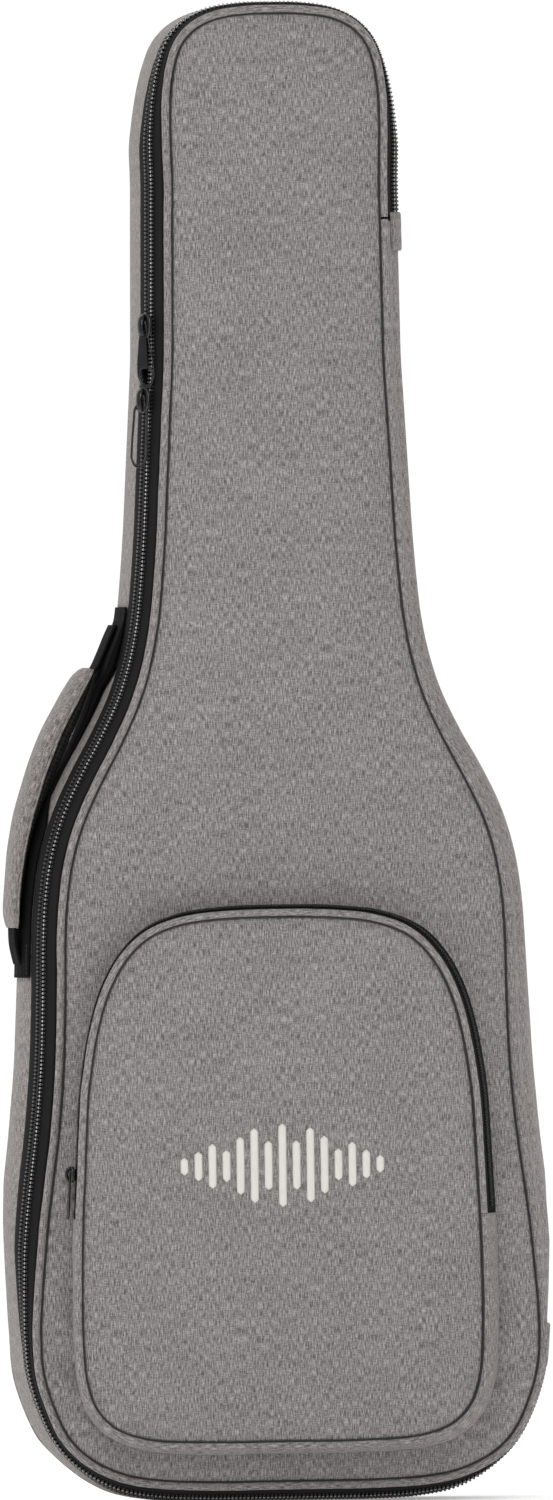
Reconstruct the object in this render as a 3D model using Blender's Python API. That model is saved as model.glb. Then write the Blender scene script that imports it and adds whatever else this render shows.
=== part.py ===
"""Padded gig bag, upright: +X to the right as seen from in front, -Y out of the front, +Z up."""

import math

import bpy
import numpy as np
from mathutils import Vector

MM = 0.001

# ---- sizes, in millimetres
DEPTH = 105.0  # front seam plane to back seam plane
FRONT_Y = -52.5  # the front seam plane
PIPING_R = 2.8
TRACK_D = 15.5  # depth of the main zipper's centre line
TAPE_BEND_D = 11.7, 19.3  # depths where the main zipper's tapes bend, either side of its teeth
TAPE_END_D = 29.0  # where the main zipper's inner tape meets the side wall
ZIP_TOP_Z = 899.0  # the main zipper's two ends, both on the right side
ZIP_BOTTOM_Z = 103.0
HINGE_TOP_Z = 896.0
HINGE_BOTTOM_Z = 105.0
FLAP_Z = 200.0  # fold line of the pocket's flap
POCKET_V = -30.0  # front plane of the pocket, measured from the front seam plane
POCKET_X = -10.0  # centre line of the pocket's front
POCKET_BASE_X = -2.0  # centre line of the pocket where it is sewn on
POCKET_PART_V = -17.0  # parting line of the pocket's zipper
HANDLE_Y = 6.0  # middle of the carry handle
HINGE_LOW = (193.5, 104.0)  # two points (x, z) of the line that the lid turns about
HINGE_HIGH = (93.5, 898.0)
FOLD_Y = -86.6  # the flap's fold line, just in front of the pocket

# Right half of the front seam line, (x, z), from bottom centre to top centre.
OUTLINE = [
    (0, 14.2), (30, 14.2), (60, 14.4), (92, 16), (119, 20.6), (142, 31.5), (157, 45.5),
    (168, 67), (175, 90), (177, 113), (176.2, 139), (173.8, 167), (171, 195), (167.4, 223),
    (163.6, 251), (160.5, 279), (158.4, 307), (157.2, 336), (156.6, 364), (156.2, 392),
    (154.6, 420), (150.5, 448), (142.3, 476), (129.3, 504), (114.4, 532), (101.5, 560),
    (92.8, 588), (87.4, 616), (84.2, 645), (81.5, 680), (80.13, 705), (78.8, 730), (77.45, 755),
    (76.1, 780), (75.3, 795), (75.0, 803), (74.7, 825), (74.4, 850), (74.1, 875), (73.8, 900),
    (73.5, 925), (74.0, 945), (74.4, 962), (73.7, 985), (70.4, 1007), (65.4, 1020.5),
    (56, 1031), (42, 1038), (21, 1041.5), (0, 1042),
]

# How far the side wall bows out past the front seam line, by height.
BOW = [
    (14, 15.4), (16, 15.4), (20, 13.2), (25, 11.5), (31.5, 9), (45, 7.5), (85, 8), (112, 9),
    (140, 12.8), (167, 17), (195, 21), (223, 24), (279, 25.2), (335, 24.4), (392, 22.6),
    (450, 22.4), (505, 22), (560, 20), (616, 18.5), (690, 18.5), (950, 18.5), (985, 13.5),
    (1010, 10), (1042, 8),
]

SEAM_OUT = 5.6  # how far the wall stands out of the seam lines where it meets the piping
FULL_BOW = 18.5
FLAT_D = 46.0, 60.0  # the wall is flat between these depths

# The wall from the front seam to mid depth: depth, how far out it stands where the bow is FULL_BOW,
# and what each millimetre of bow beyond that adds.
FRONT_PROFILE = [
    (0, SEAM_OUT, 0), (TAPE_BEND_D[0], 10.8, 0.15), (TAPE_BEND_D[1], 15.4, 0.18), (29, 17.75, 0.32),
    (FLAT_D[0], FULL_BOW, 1),
]

# Half width of the pocket's front seam line by height, bottom to top.
POCKET_OUTLINE = [
    (0, 43), (60, 43.2), (98, 46), (120, 54), (133, 68), (139.5, 88), (141.5, 110), (142, 139),
    (141.6, 170), (140.6, 200), (139.2, 228), (137.8, 256), (136.2, 283), (133, 308),
    (128, 334), (120.5, 358), (109, 379), (93, 395), (70, 404.5), (40, 408.5), (0, 409.5),
]


def lerp_table(table, at):
    xs = [row[0] for row in table]
    ys = [row[1] for row in table]
    return float(np.interp(at, xs, ys))


def catmull(points, closed, per):
    """A centripetal Catmull-Rom curve through the points."""
    pts = [np.array(p, float) for p in points]
    n = len(pts)
    out = []
    spans = n if closed else n - 1
    for i in range(spans):
        if closed:
            p = [pts[(i + k) % n] for k in (-1, 0, 1, 2)]
        else:
            first = pts[i - 1] if i else 2 * pts[0] - pts[1]
            last = pts[i + 2] if i + 2 < n else 2 * pts[-1] - pts[-2]
            p = [first, pts[i], pts[i + 1], last]
        t = [0.0]
        for k in range(3):
            t.append(t[-1] + max(np.linalg.norm(p[k + 1] - p[k]), 1e-9) ** 0.5)
        for j in range(per):
            u = t[1] + (t[2] - t[1]) * j / per
            a1 = (t[1] - u) / (t[1] - t[0]) * p[0] + (u - t[0]) / (t[1] - t[0]) * p[1]
            a2 = (t[2] - u) / (t[2] - t[1]) * p[1] + (u - t[1]) / (t[2] - t[1]) * p[2]
            a3 = (t[3] - u) / (t[3] - t[2]) * p[2] + (u - t[2]) / (t[3] - t[2]) * p[3]
            b1 = (t[2] - u) / (t[2] - t[0]) * a1 + (u - t[0]) / (t[2] - t[0]) * a2
            b2 = (t[3] - u) / (t[3] - t[1]) * a2 + (u - t[1]) / (t[3] - t[1]) * a3
            out.append((t[2] - u) / (t[2] - t[1]) * b1 + (u - t[1]) / (t[2] - t[1]) * b2)
    if not closed:
        out.append(pts[-1])
    return np.array(out)


def mirrored(half):
    """The whole loop from its right half: bottom centre, up the right, over the top, down the left."""
    left = [(-x, z) for x, z in half[-2:0:-1]]
    return half + left


class Loop:
    """A closed outline with its outward normals, cut at stations that follow its curvature."""

    def __init__(self, half, turn, longest, extra):
        self.fine = catmull(mirrored(half), True, 12)
        ahead = np.roll(self.fine, -1, 0) - np.roll(self.fine, 1, 0)
        ahead /= np.linalg.norm(ahead, axis=1)[:, None]
        self.tangent = ahead
        self.normal = np.stack([ahead[:, 1], -ahead[:, 0]], 1)
        self.marks = self.choose(turn, longest, extra)

    def choose(self, turn, longest, extra):
        forced = set()
        for x_sign, z in extra:
            side = np.where(self.fine[:, 0] * x_sign > 0)[0]
            forced.add(int(side[np.argmin(abs(self.fine[side, 1] - z))]))
        marks = [0]
        for i in range(1, len(self.fine)):
            last = marks[-1]
            bend = math.degrees(math.acos(min(1.0, float(self.tangent[i] @ self.tangent[last]))))
            gap = np.linalg.norm(self.fine[i] - self.fine[last])
            if i in forced or bend > turn or gap > longest:
                if i not in forced and i - last < 3:
                    continue
                marks.append(i)
        if len(self.fine) - marks[-1] < 5 and marks[-1] not in forced:
            marks.pop()
        return marks

    def index(self, x_sign, z):
        """The station nearest this height on the right (x_sign 1) or left (-1) side."""
        best = None
        for k, mark in enumerate(self.marks):
            if self.fine[mark, 0] * x_sign <= 0:
                continue
            off = abs(self.fine[mark, 1] - z)
            if best is None or off < best[0]:
                best = (off, k)
        return best[1]

    def stations(self, first=None, last=None):
        """(point, normal) of each station, all of them or from one to another going round."""
        n = len(self.marks)
        if first is None:
            order = range(n)
        else:
            count = (last - first) % n
            order = [(first + k) % n for k in range(count + 1)]
        return [(self.fine[self.marks[k]], self.normal[self.marks[k]]) for k in order]


def bow_at(z):
    return lerp_table(BOW, z)


def wall_n(z, d):
    """How far out of the seam line the side wall stands, at this height and depth."""
    bow = bow_at(z)
    if d > FLAT_D[0]:
        t = max(d - FLAT_D[1], 0) / (DEPTH - FLAT_D[1])
        return SEAM_OUT + (bow - SEAM_OUT) * (1 - t ** 3)
    depths = [row[0] for row in FRONT_PROFILE]
    out = float(np.interp(d, depths, [row[1] for row in FRONT_PROFILE]))
    if bow <= FULL_BOW:
        return SEAM_OUT + (out - SEAM_OUT) * (bow - SEAM_OUT) / (FULL_BOW - SEAM_OUT)
    return out + (bow - FULL_BOW) * float(np.interp(d, depths, [row[2] for row in FRONT_PROFILE]))


def wall_slope(z, d):
    return wall_n(z, d + 0.5) - wall_n(z, d - 0.5)


# ---- meshes


def material(name, colour, roughness, metallic=0.0):
    found = bpy.data.materials.get(name)
    if found:
        return found
    made = bpy.data.materials.new(name)
    made.use_nodes = True
    shader = made.node_tree.nodes["Principled BSDF"]
    shader.inputs["Base Color"].default_value = (*colour, 1.0)
    shader.inputs["Roughness"].default_value = roughness
    shader.inputs["Metallic"].default_value = metallic
    made.diffuse_color = (*colour, 1.0)
    return made


def grey(name):
    return material(name, (0.262, 0.247, 0.238), 0.9)


def black(name):
    return material(name, (0.016, 0.016, 0.017), 0.75)


def dark_metal(name):
    return material(name, (0.03, 0.03, 0.032), 0.35, 0.8)


def make(name, verts, faces, mat, smooth=False):
    """A mesh from points in millimetres, its faces turned outwards."""
    pts = np.array(verts, float) * MM
    mesh = bpy.data.meshes.new(name)
    mesh.from_pydata([tuple(p) for p in pts], [], [tuple(f) for f in faces])
    mesh.update()
    mesh.calc_loop_triangles()
    volume = 0.0
    for tri in mesh.loop_triangles:
        a, b, c = (mesh.vertices[i].co for i in tri.vertices)
        volume += a.dot(b.cross(c))
    if volume < 0:
        mesh.flip_normals()
    mesh.materials.append(mat)
    if smooth:
        mesh.shade_smooth()
    obj = bpy.data.objects.new(name, mesh)
    bpy.context.scene.collection.objects.link(obj)
    return obj


def pivot(name, at, names, parent=None):
    """An empty on a joint's axis, which carries the named pieces and hangs on the parent's empty."""
    empty = bpy.data.objects.new(name, None)
    empty.empty_display_size = 0.02
    bpy.context.scene.collection.objects.link(empty)
    spot = Vector([c * MM for c in at])
    empty.location = spot
    if parent:
        empty.parent = parent
        empty.location = spot - parent.matrix_world.translation
    bpy.context.view_layer.update()
    for piece in names:
        child = bpy.data.objects[piece]
        child.parent = empty
        child.location = -spot
    return empty


def skin(rings, closed):
    """Faces that join rings of equal length, with flat ends unless the rings close on themselves."""
    n = len(rings[0])
    verts = [p for ring in rings for p in ring]
    faces = []
    spans = len(rings) if closed else len(rings) - 1
    for i in range(spans):
        a = i * n
        b = ((i + 1) % len(rings)) * n
        for j in range(n):
            k = (j + 1) % n
            faces.append((a + j, a + k, b + k, b + j))
    if not closed:
        faces.append(tuple(range(n))[::-1])
        faces.append(tuple(range((len(rings) - 1) * n, len(rings) * n)))
    return verts, faces


def place(station, n, d, floor=None):
    point, normal = station
    z = point[1] + n * normal[1]
    if floor is not None:
        z = max(z, floor)
    return (point[0] + n * normal[0], FRONT_Y + d, z)


def sweep(name, stations, section, mat, closed=False, smooth=True, floors=None):
    """A band with section(height) -> [(out, depth), ...] carried along the stations."""
    rings = []
    for station in stations:
        pts = section(station[0][1])
        low = floors or [None] * len(pts)
        rings.append([place(station, n, d, f) for (n, d), f in zip(pts, low)])
    verts, faces = skin(rings, closed)
    return make(name, verts, faces, mat, smooth)


def plate(name, loops, mat, smooth=False):
    """A solid whose skin is a stack of closed loops, capped flat at both ends."""
    verts, faces = skin(loops, False)
    return make(name, verts, faces, mat, smooth)


def inset(stations, n, d):
    return [place(s, n, d) for s in stations]


def prism(name, profile, along, mat, smooth=False):
    """A flat polygon of 3-D points carried along one vector."""
    lift = np.array(along, float)
    low = [np.array(p, float) for p in profile]
    verts, faces = skin([low, [p + lift for p in low]], False)
    return make(name, verts, faces, mat, smooth)


def box(name, low, high, mat):
    x0, y0, z0 = low
    x1, y1, z1 = high
    profile = [(x0, y0, z0), (x1, y0, z0), (x1, y1, z0), (x0, y1, z0)]
    return prism(name, profile, (0, 0, z1 - z0), mat)


def boolean(obj, other, operation):
    """Applies the Boolean by adding the modifier; the other solid stays as a hidden helper."""
    other.hide_render = True
    other.display_type = "WIRE"
    cut = obj.modifiers.new(other.name, "BOOLEAN")
    cut.operation = operation
    cut.solver = "EXACT"
    cut.object = other


def frame_points(base, axes, shape):
    """Points given along a local frame's three axes, in row millimetres."""
    t, w, q = (np.array(a, float) for a in axes)
    return [np.array(base, float) + p[0] * t + p[1] * w + p[2] * q for p in shape]


def local_box(name, base, axes, low, high, mat):
    a, b, c = low
    d, e, f = high
    shape = [(a, b, c), (a, e, c), (a, e, f), (a, b, f)]
    profile = frame_points(base, axes, shape)
    return prism(name, profile, (d - a) * np.array(axes[0], float), mat)


def ribbon(name, path, width, thick, mat, side=(0, 0, 1), widths=None):
    """A flat strip along a 3-D path; side is the direction its width lies in."""
    pts = [np.array(p, float) for p in path]
    rings = []
    for i, p in enumerate(pts):
        ahead = pts[min(i + 1, len(pts) - 1)] - pts[max(i - 1, 0)]
        ahead /= np.linalg.norm(ahead)
        across = np.array(side, float)
        across -= ahead * (across @ ahead)
        across /= np.linalg.norm(across)
        up = np.cross(ahead, across)
        half = (widths[i] if widths else width) / 2
        t = (thick[i] if isinstance(thick, list) else thick) / 2
        rings.append([p + across * a + up * b for a, b in ((-half, -t), (half, -t), (half, t), (-half, t))])
    verts, faces = skin(rings, False)
    return make(name, verts, faces, mat, True)


# ---- the bag's walls


def side_wall(loop):
    """Outer cloth, foam and lining of the side wall, and the grey cloth beside the hinge."""
    ring = loop.stations()

    def cloth(z):
        depths = (TAPE_END_D + 0.4, 40, *FLAT_D, 72, 84, 94, 102)
        outer = [(wall_n(z, d), d) for d in depths]
        return outer + [(n - 1.5, d) for n, d in reversed(outer)]

    sweep("side_wall_cloth", ring, cloth, grey("side_wall_cloth"), True, True, [0.0] * 8 + [1.5] * 8)

    def foam(z):
        depths = (30.4, 40, 66, 80)
        outer = [(wall_n(z, d) - 2.3, d) for d in depths]
        return outer + [(max(n - 9, -2.5), d) for n, d in reversed(outer)]

    foam_mat = material("foam", (0.08, 0.08, 0.085), 0.95)
    sweep("side_wall_foam", ring, foam, foam_mat, True, True, [2.0] * 4 + [4.5] * 4)

    def lining(z):
        depths = (30.4, 40, 66, 80)
        outer = [(max(wall_n(z, d) - 11.3, -2.5) - 1.0, d) for d in depths]
        return outer + [(n - 1.2, d) for n, d in reversed(outer)]

    lining_mat = material("lining", (0.05, 0.05, 0.055), 0.8)
    sweep("side_wall_lining", ring, lining, lining_mat, True, True, [5.2] * 4 + [6.4] * 4)


def hinge_side(loop):
    path = loop.stations(loop.index(1, HINGE_BOTTOM_Z), loop.index(1, HINGE_TOP_Z))

    def cloth(z):
        outer = [(wall_n(z, d), d) for d in (3.2, *TAPE_BEND_D, TAPE_END_D)]
        return outer + [(n - 1.5, d) for n, d in reversed(outer)]

    sweep("hinge_side_cloth", path, cloth, grey("hinge_side_cloth"))
    sweep("hinge_side_piping", path, piping_section(0.0), grey("hinge_side_piping"))


def piping_section(depth):
    def section(z):
        steps = [2 * math.pi * k / 6 for k in range(6)]
        return [(3.1 + PIPING_R * math.cos(a), depth + PIPING_R * math.sin(a)) for a in steps]

    return section


def tape_section(depths):
    def section(z):
        outer = [(wall_n(z, d), d) for d in depths]
        return outer + [(n - 1.2, d) for n, d in reversed(outer)]

    return section


def chain_section(first, last):
    """The teeth stand square off the tape, so their tops lean forward with its slope."""

    def section(z):
        slope = wall_slope(z, TRACK_D)
        c = 1 / math.hypot(1, slope)
        s = slope * c
        low = [(wall_n(z, d) + 0.3 * c, d - 0.3 * s) for d in (first, last)]
        return low + [(n + 1.4 * c, d - 1.4 * s) for n, d in reversed(low)]

    return section


def main_zipper(loop):
    path = loop.stations(loop.index(1, ZIP_TOP_Z), loop.index(1, ZIP_BOTTOM_Z))
    tape = black("zipper_tape")
    teeth = material("zipper_teeth", (0.012, 0.012, 0.013), 0.35)
    lid_tape = tape_section((3.2, TAPE_BEND_D[0], 14.4))
    body_tape = tape_section((16.6, TAPE_BEND_D[1], TAPE_END_D))
    sweep("zipper_tape_lid", path, lid_tape, tape, floors=[1.4] * 3 + [2.6] * 3)
    sweep("zipper_teeth_lid", path, chain_section(11.9, 14.6), teeth, floors=[1.1] * 2 + [0.5] * 2)
    sweep("zipper_tape_body", path, body_tape, tape, floors=[1.4] * 3 + [2.6] * 3)
    sweep("zipper_teeth_body", path, chain_section(16.4, 19.1), teeth, floors=[1.1] * 2 + [0.5] * 2)
    sweep("lid_piping", path, piping_section(0.0), grey("lid_piping"))


def end_tabs(loop):
    """Cloth covers where the main zipper stops."""
    spans = (("zipper_end_tab_top", 876.0, 903.0), ("zipper_end_tab_bottom", 91.0, 122.0))
    for name, low, high in spans:
        path = loop.stations(loop.index(1, low), loop.index(1, high))

        def section(z):
            outer = [(wall_n(z, d) + 3.4, d) for d in (9.5, *TAPE_BEND_D, 27)]
            return outer + [(n - 1.2, d) for n, d in reversed(outer)]

        sweep(name, path, section, grey(name))


def lid(loop):
    ring = loop.stations()
    cloth = [
        inset(ring, -36, -6.0), inset(ring, -14, -3.0), inset(ring, -0.4, 1.6), inset(ring, -0.4, 0.0),
        inset(ring, -14, -4.5), inset(ring, -36, -7.5),
    ]
    plate("front_panel_cloth", cloth, grey("front_panel_cloth"), True)
    foam_mat = material("foam", (0.08, 0.08, 0.085), 0.95)
    foam = [
        inset(ring, -2.5, 16.5), inset(ring, -2.5, 2.0), inset(ring, -14, -2.6), inset(ring, -36, -5.6),
    ]
    plate("front_panel_foam", foam, foam_mat)
    lining_mat = material("lining", (0.05, 0.05, 0.055), 0.8)
    plate("front_panel_lining", [inset(ring, -2.5, 18.2), inset(ring, -2.5, 16.9)], lining_mat)


def back(loop):
    ring = loop.stations()
    rim = [inset(ring, -0.4, DEPTH - 2.0), inset(ring, -0.4, DEPTH)]
    plate("back_panel_cloth", rim, grey("back_panel_cloth"))
    foam_mat = material("foam", (0.08, 0.08, 0.085), 0.95)
    plate("back_panel_foam", [inset(ring, -1.5, 88.6), inset(ring, -1.5, DEPTH - 2.4)], foam_mat)
    lining_mat = material("lining", (0.05, 0.05, 0.055), 0.8)
    plate("back_panel_lining", [inset(ring, -1.5, 87.0), inset(ring, -1.5, 88.2)], lining_mat)
    sweep("back_piping", ring, piping_section(DEPTH), grey("back_piping"), True)


# ---- sliders and their pulls


def track_frame(loop, z, side):
    """Point and axes (along, across, out) of the main zipper's centre line at this height."""
    fine = loop.fine
    picked = np.where(fine[:, 0] * side > 0)[0]
    i = int(picked[np.argmin(abs(fine[picked, 1] - z))])
    j = i + 1 if fine[i + 1, 1] < z else i - 1
    share = (z - fine[i, 1]) / (fine[j, 1] - fine[i, 1])
    point = fine[i] + (fine[j] - fine[i]) * share
    normal = loop.normal[i]
    n = wall_n(z, TRACK_D)
    slope = wall_slope(z, TRACK_D)
    out = np.array([normal[0], 0.0, normal[1]])
    across = np.array([0.0, 1.0, 0.0]) + slope * out
    across /= np.linalg.norm(across)
    along = np.array([-normal[1], 0.0, normal[0]])
    if along[2] < 0:
        along = -along
    q = np.cross(along, across)
    if q @ out < 0:
        q = -q
    base = np.array([point[0] + n * normal[0], FRONT_Y + TRACK_D, point[1] + n * normal[1]])
    return base, (along, across, q)


def slider(name, base, axes, length, half, low, high, mat):
    """An I-shaped zipper slider: outer plate, post between the teeth, inner plate, and a bridge."""
    shape = [
        (-half, high), (-half, high + 1.5), (half, high + 1.5), (half, high), (0.5, high),
        (0.5, -low), (half, -low), (half, -low - 1.4), (-half, -low - 1.4), (-half, -low),
        (-0.5, -low), (-0.5, high),
    ]
    profile = frame_points(base, axes, [(-length / 2, w, q) for w, q in shape])
    body = prism(name, profile, length * np.array(axes[0]), mat)
    top = high + 1.5
    arch = [
        (-5.2, top - 0.6), (-5.2, top + 1.6), (-3.9, top + 3.2), (3.9, top + 3.2), (5.2, top + 1.6),
        (5.2, top - 0.6), (3.9, top - 0.6), (3.9, top + 1.9), (-3.9, top + 1.9), (-3.9, top - 0.6),
    ]
    bridge_profile = frame_points(base, axes, [(t, -1.2, q) for t, q in arch])
    bridge = prism(name + "_bridge", bridge_profile, 2.4 * np.array(axes[1]), mat)
    boolean(body, bridge, "UNION")
    return top + 0.95


def pull(name, base, axes, height, drop, width, length, hole, mat):
    """A pull that hangs from the slider's bridge, with the hole it hangs by and one near its end."""
    spot = frame_points(base, axes, [(drop, 0, height)])[0]
    q = axes[2]
    outline = [
        (0.65, -3.3), (0.65, 3.3), (-9.6, 3.3), (-13.0, width / 2), (-length + 3, width / 2 + 0.4),
        (-length, width / 2 - 1.6), (-length, -width / 2 + 1.6), (-length + 3, -width / 2 - 0.4),
        (-13.0, -width / 2), (-9.6, -3.3),
    ]
    profile = frame_points(spot, axes, [(a, b, -0.6) for a, b in outline])
    body = prism(name, profile, 1.2 * np.array(q), mat)
    eye = local_box(name + "_eye", spot, axes, (-8.6, -1.9, -2), (-0.65, 1.9, 2), mat)
    boolean(body, eye, "DIFFERENCE")
    near = -length + 3
    half = hole[1] / 2
    low = local_box(name + "_end", spot, axes, (near, -half, -2), (near + hole[0], half, 2), mat)
    boolean(body, low, "DIFFERENCE")
    return spot


def main_sliders(loop):
    metal = dark_metal("slider")
    spots = (("upper", 824.0, 10.5, 45.5, (6.0, 4.4)), ("lower", 771.5, 9.0, 50.0, (32.0, 4.6)))
    for which, z, width, length, hole in spots:
        base, axes = track_frame(loop, z, -1)
        height = slider(f"main_slider_{which}", base, axes, 15.0, 5.2, 2.1, 4.7, metal)
        spot = pull(f"main_pull_{which}", base, axes, height, 2.6, width, length, hole, metal)
        carrier = pivot(f"main_slider_{which}_run", base, [f"main_slider_{which}"])
        pivot(f"main_pull_{which}_swing", spot, [f"main_pull_{which}"], carrier)


# ---- pocket


def pocket_ring():
    marks = [(side, z) for side in (1, -1) for z in (FLAP_Z, 283, 228)]
    return Loop(POCKET_OUTLINE, 13.0, 60.0, marks)


def pocket_place(station, n, v):
    """A point on the pocket: n out of its front seam line, v from the front seam plane of the bag."""
    point, normal = station
    x = point[0] + n * normal[0]
    z = point[1] + n * normal[1]
    share = min(max((v - POCKET_V) / -POCKET_V, 0.0), 1.0)
    return (x + POCKET_X + (POCKET_BASE_X - POCKET_X) * share, FRONT_Y + v, z)


def crown_at(loop, x, z):
    """Depth of the front panel's cloth at this place: it swells forward away from its seam line."""
    away = float(np.min(np.hypot(loop.fine[:, 0] - x, loop.fine[:, 1] - z)))
    return float(np.interp(away, (0.4, 14, 36), (0.0, -4.5, -7.5)))


def on_panel(loop, station, n):
    """The point where the pocket's side band meets the front panel."""
    x, _, z = pocket_place(station, n, -5.0)
    return (x, FRONT_Y + crown_at(loop, x, z) - 0.6, z)


def band_n(v):
    """How far the pocket's side band flares past its front seam line, by depth."""
    share = (v - POCKET_V) / -POCKET_V
    return 3.6 + 7.0 * share


def pocket_sweep(name, stations, section, mat, loop=None):
    """A strip of the pocket's side; with a loop given, its deepest edge lies on the front panel."""
    back = max(v for _, v in section)
    rings = []
    for s in stations:
        ring = []
        for n, v in section:
            ring.append(on_panel(loop, s, n) if loop and v == back else pocket_place(s, n, v))
        rings.append(ring)
    verts, faces = skin(rings, False)
    return make(name, verts, faces, mat, True)


def pocket_band_section(v_front, v_back):
    outer = [(band_n(v), v) for v in (v_front, v_back)]
    return outer + [(n - 1.6, v) for n, v in reversed(outer)]


def pocket_piping_section():
    steps = [2 * math.pi * k / 6 for k in range(6)]
    return [(3.0 + 2.6 * math.cos(a), POCKET_V + 2.6 * math.sin(a)) for a in steps]


def front_sheet(name, stations, mat, low_edge, high_edge):
    """A part of the pocket's front: padded sheet between its seam line and the fold line."""

    def loop_at(n, v):
        pts = []
        for station in stations:
            x, y, z = pocket_place(station, n, v)
            pts.append((x, y, min(max(z, low_edge), high_edge)))
        return pts

    plate(name, [loop_at(-0.3, POCKET_V + 3.0), loop_at(-0.3, POCKET_V), loop_at(-12, POCKET_V - 3.5)], mat)


def pocket(loop):
    ring = pocket_ring()
    right = ring.index(1, FLAP_Z)
    left = ring.index(-1, FLAP_Z)
    over = ring.stations(right, left)
    under = ring.stations(left, right)
    tape = black("zipper_tape")
    lower = list(under)
    lower[0] = (lower[0][0] - np.array([0, 0.5]), lower[0][1])
    lower[-1] = (lower[-1][0] - np.array([0, 0.5]), lower[-1][1])
    upper = list(over)
    upper[0] = (upper[0][0] + np.array([0, 0.5]), upper[0][1])
    upper[-1] = (upper[-1][0] + np.array([0, 0.5]), upper[-1][1])
    raised = list(over)
    raised[0] = (raised[0][0] + np.array([0, 5.0]), raised[0][1])
    raised[-1] = (raised[-1][0] + np.array([0, 5.0]), raised[-1][1])
    whole_band = pocket_band_section(POCKET_V + 3.2, -5.0)
    pocket_sweep("pocket_band_lower", lower, whole_band, grey("pocket_band_lower"), loop)
    pocket_sweep("pocket_piping_lower", lower, pocket_piping_section(), grey("pocket_piping_lower"))
    front_sheet("pocket_front_lower", under, grey("pocket_front_lower"), 0, FLAP_Z - 0.4)
    rear_band = pocket_band_section(POCKET_PART_V + 5.0, -5.0)
    rear_tape = pocket_band_section(POCKET_PART_V + 0.9, POCKET_PART_V + 4.7)
    flap_tape = pocket_band_section(POCKET_V + 3.2, POCKET_PART_V - 0.9)
    pocket_sweep("pocket_band_upper", over, rear_band, tape, loop)
    pocket_sweep("pocket_zipper_base", over, rear_tape, tape)
    pocket_sweep("flap_zipper", raised, flap_tape, tape)
    pocket_sweep("flap_piping", raised, pocket_piping_section(), grey("flap_piping"))
    front_sheet("flap_front", over, grey("flap_front"), FLAP_Z + 0.4, 1000)
    teeth = material("zipper_teeth", (0.012, 0.012, 0.013), 0.35)
    spans = (
        ("pocket_teeth_base", over, POCKET_PART_V + 0.8, POCKET_PART_V + 2.8),
        ("flap_teeth", raised, POCKET_PART_V - 2.8, POCKET_PART_V - 0.8),
    )
    for name, stations, first, last in spans:
        outer = [(band_n(v) + 1.5, v) for v in (first, last)]
        pocket_sweep(name, stations, outer + [(n - 1.2, v) for n, v in reversed(outer)], teeth)
    pocket_slider_and_pull(ring)


def pocket_slider_and_pull(ring):
    """The slider rides the left side of the pocket's zipper and its pull hangs from it."""
    marks = [ring.index(-1, 228), ring.index(-1, 283)]
    (low, normal), (high, _) = (
        (ring.fine[ring.marks[k]], ring.normal[ring.marks[k]]) for k in marks
    )
    share = (231 - low[1]) / (high[1] - low[1])
    station = (low + (high - low) * share, normal)
    base = np.array(pocket_place(station, band_n(POCKET_PART_V), POCKET_PART_V))
    ahead = high - low
    along = np.array([ahead[0], 0, ahead[1]])
    along /= np.linalg.norm(along)
    back_point = np.array(pocket_place(station, band_n(POCKET_PART_V + 3), POCKET_PART_V + 3))
    across = back_point - base
    across -= along * (across @ along)
    across /= np.linalg.norm(across)
    q = np.cross(along, across)
    if q[0] > 0:
        q = -q
    metal = dark_metal("slider")
    axes = (along, across, q)
    height = slider("pocket_slider", base, axes, 11.0, 3.9, 2.3, 3.0, metal)
    spot = pull("pocket_pull", base, axes, height, 2.6, 7.0, 34.0, (4.5, 3.0), metal)
    carrier = pivot("pocket_slider_run", base, ["pocket_slider"], bpy.data.objects["lid_hinge"])
    pivot("pocket_pull_swing", spot, ["pocket_pull"], carrier)


# ---- handle on the left side

HANDLE_TOP = (-115.0, HANDLE_Y, 608.2)
HANDLE_LOW = (-183.6, HANDLE_Y, 384.5)

# The grip's middle line, (x, z), and how thick it is on the wall's side and on the outer side of it.
GRIP = [
    (-127.5, 584, 3.6, 7), (-140.5, 560, 7.4, 9.5), (-154.5, 532, 9.2, 10), (-165.2, 504, 7.2, 9.8),
    (-172.6, 480, 5.2, 9), (-177.4, 460, 4.2, 8), (-180.6, 440, 3.8, 7.2), (-182.8, 420, 3.2, 6.4),
    (-183.3, 404, 2.6, 5),
]


def grip_ring(x, z, normal, inner, outer, half, chamfer):
    q = np.array([normal[0], 0, normal[1]])
    y = np.array([0, 1.0, 0])
    base = np.array([x, HANDLE_Y, z])
    shape = [
        (-half, inner), (half, inner), (half, outer - chamfer), (half - chamfer, outer),
        (-half + chamfer, outer), (-half, outer - chamfer),
    ]
    return [base + y * a + q * b for a, b in shape]


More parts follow.
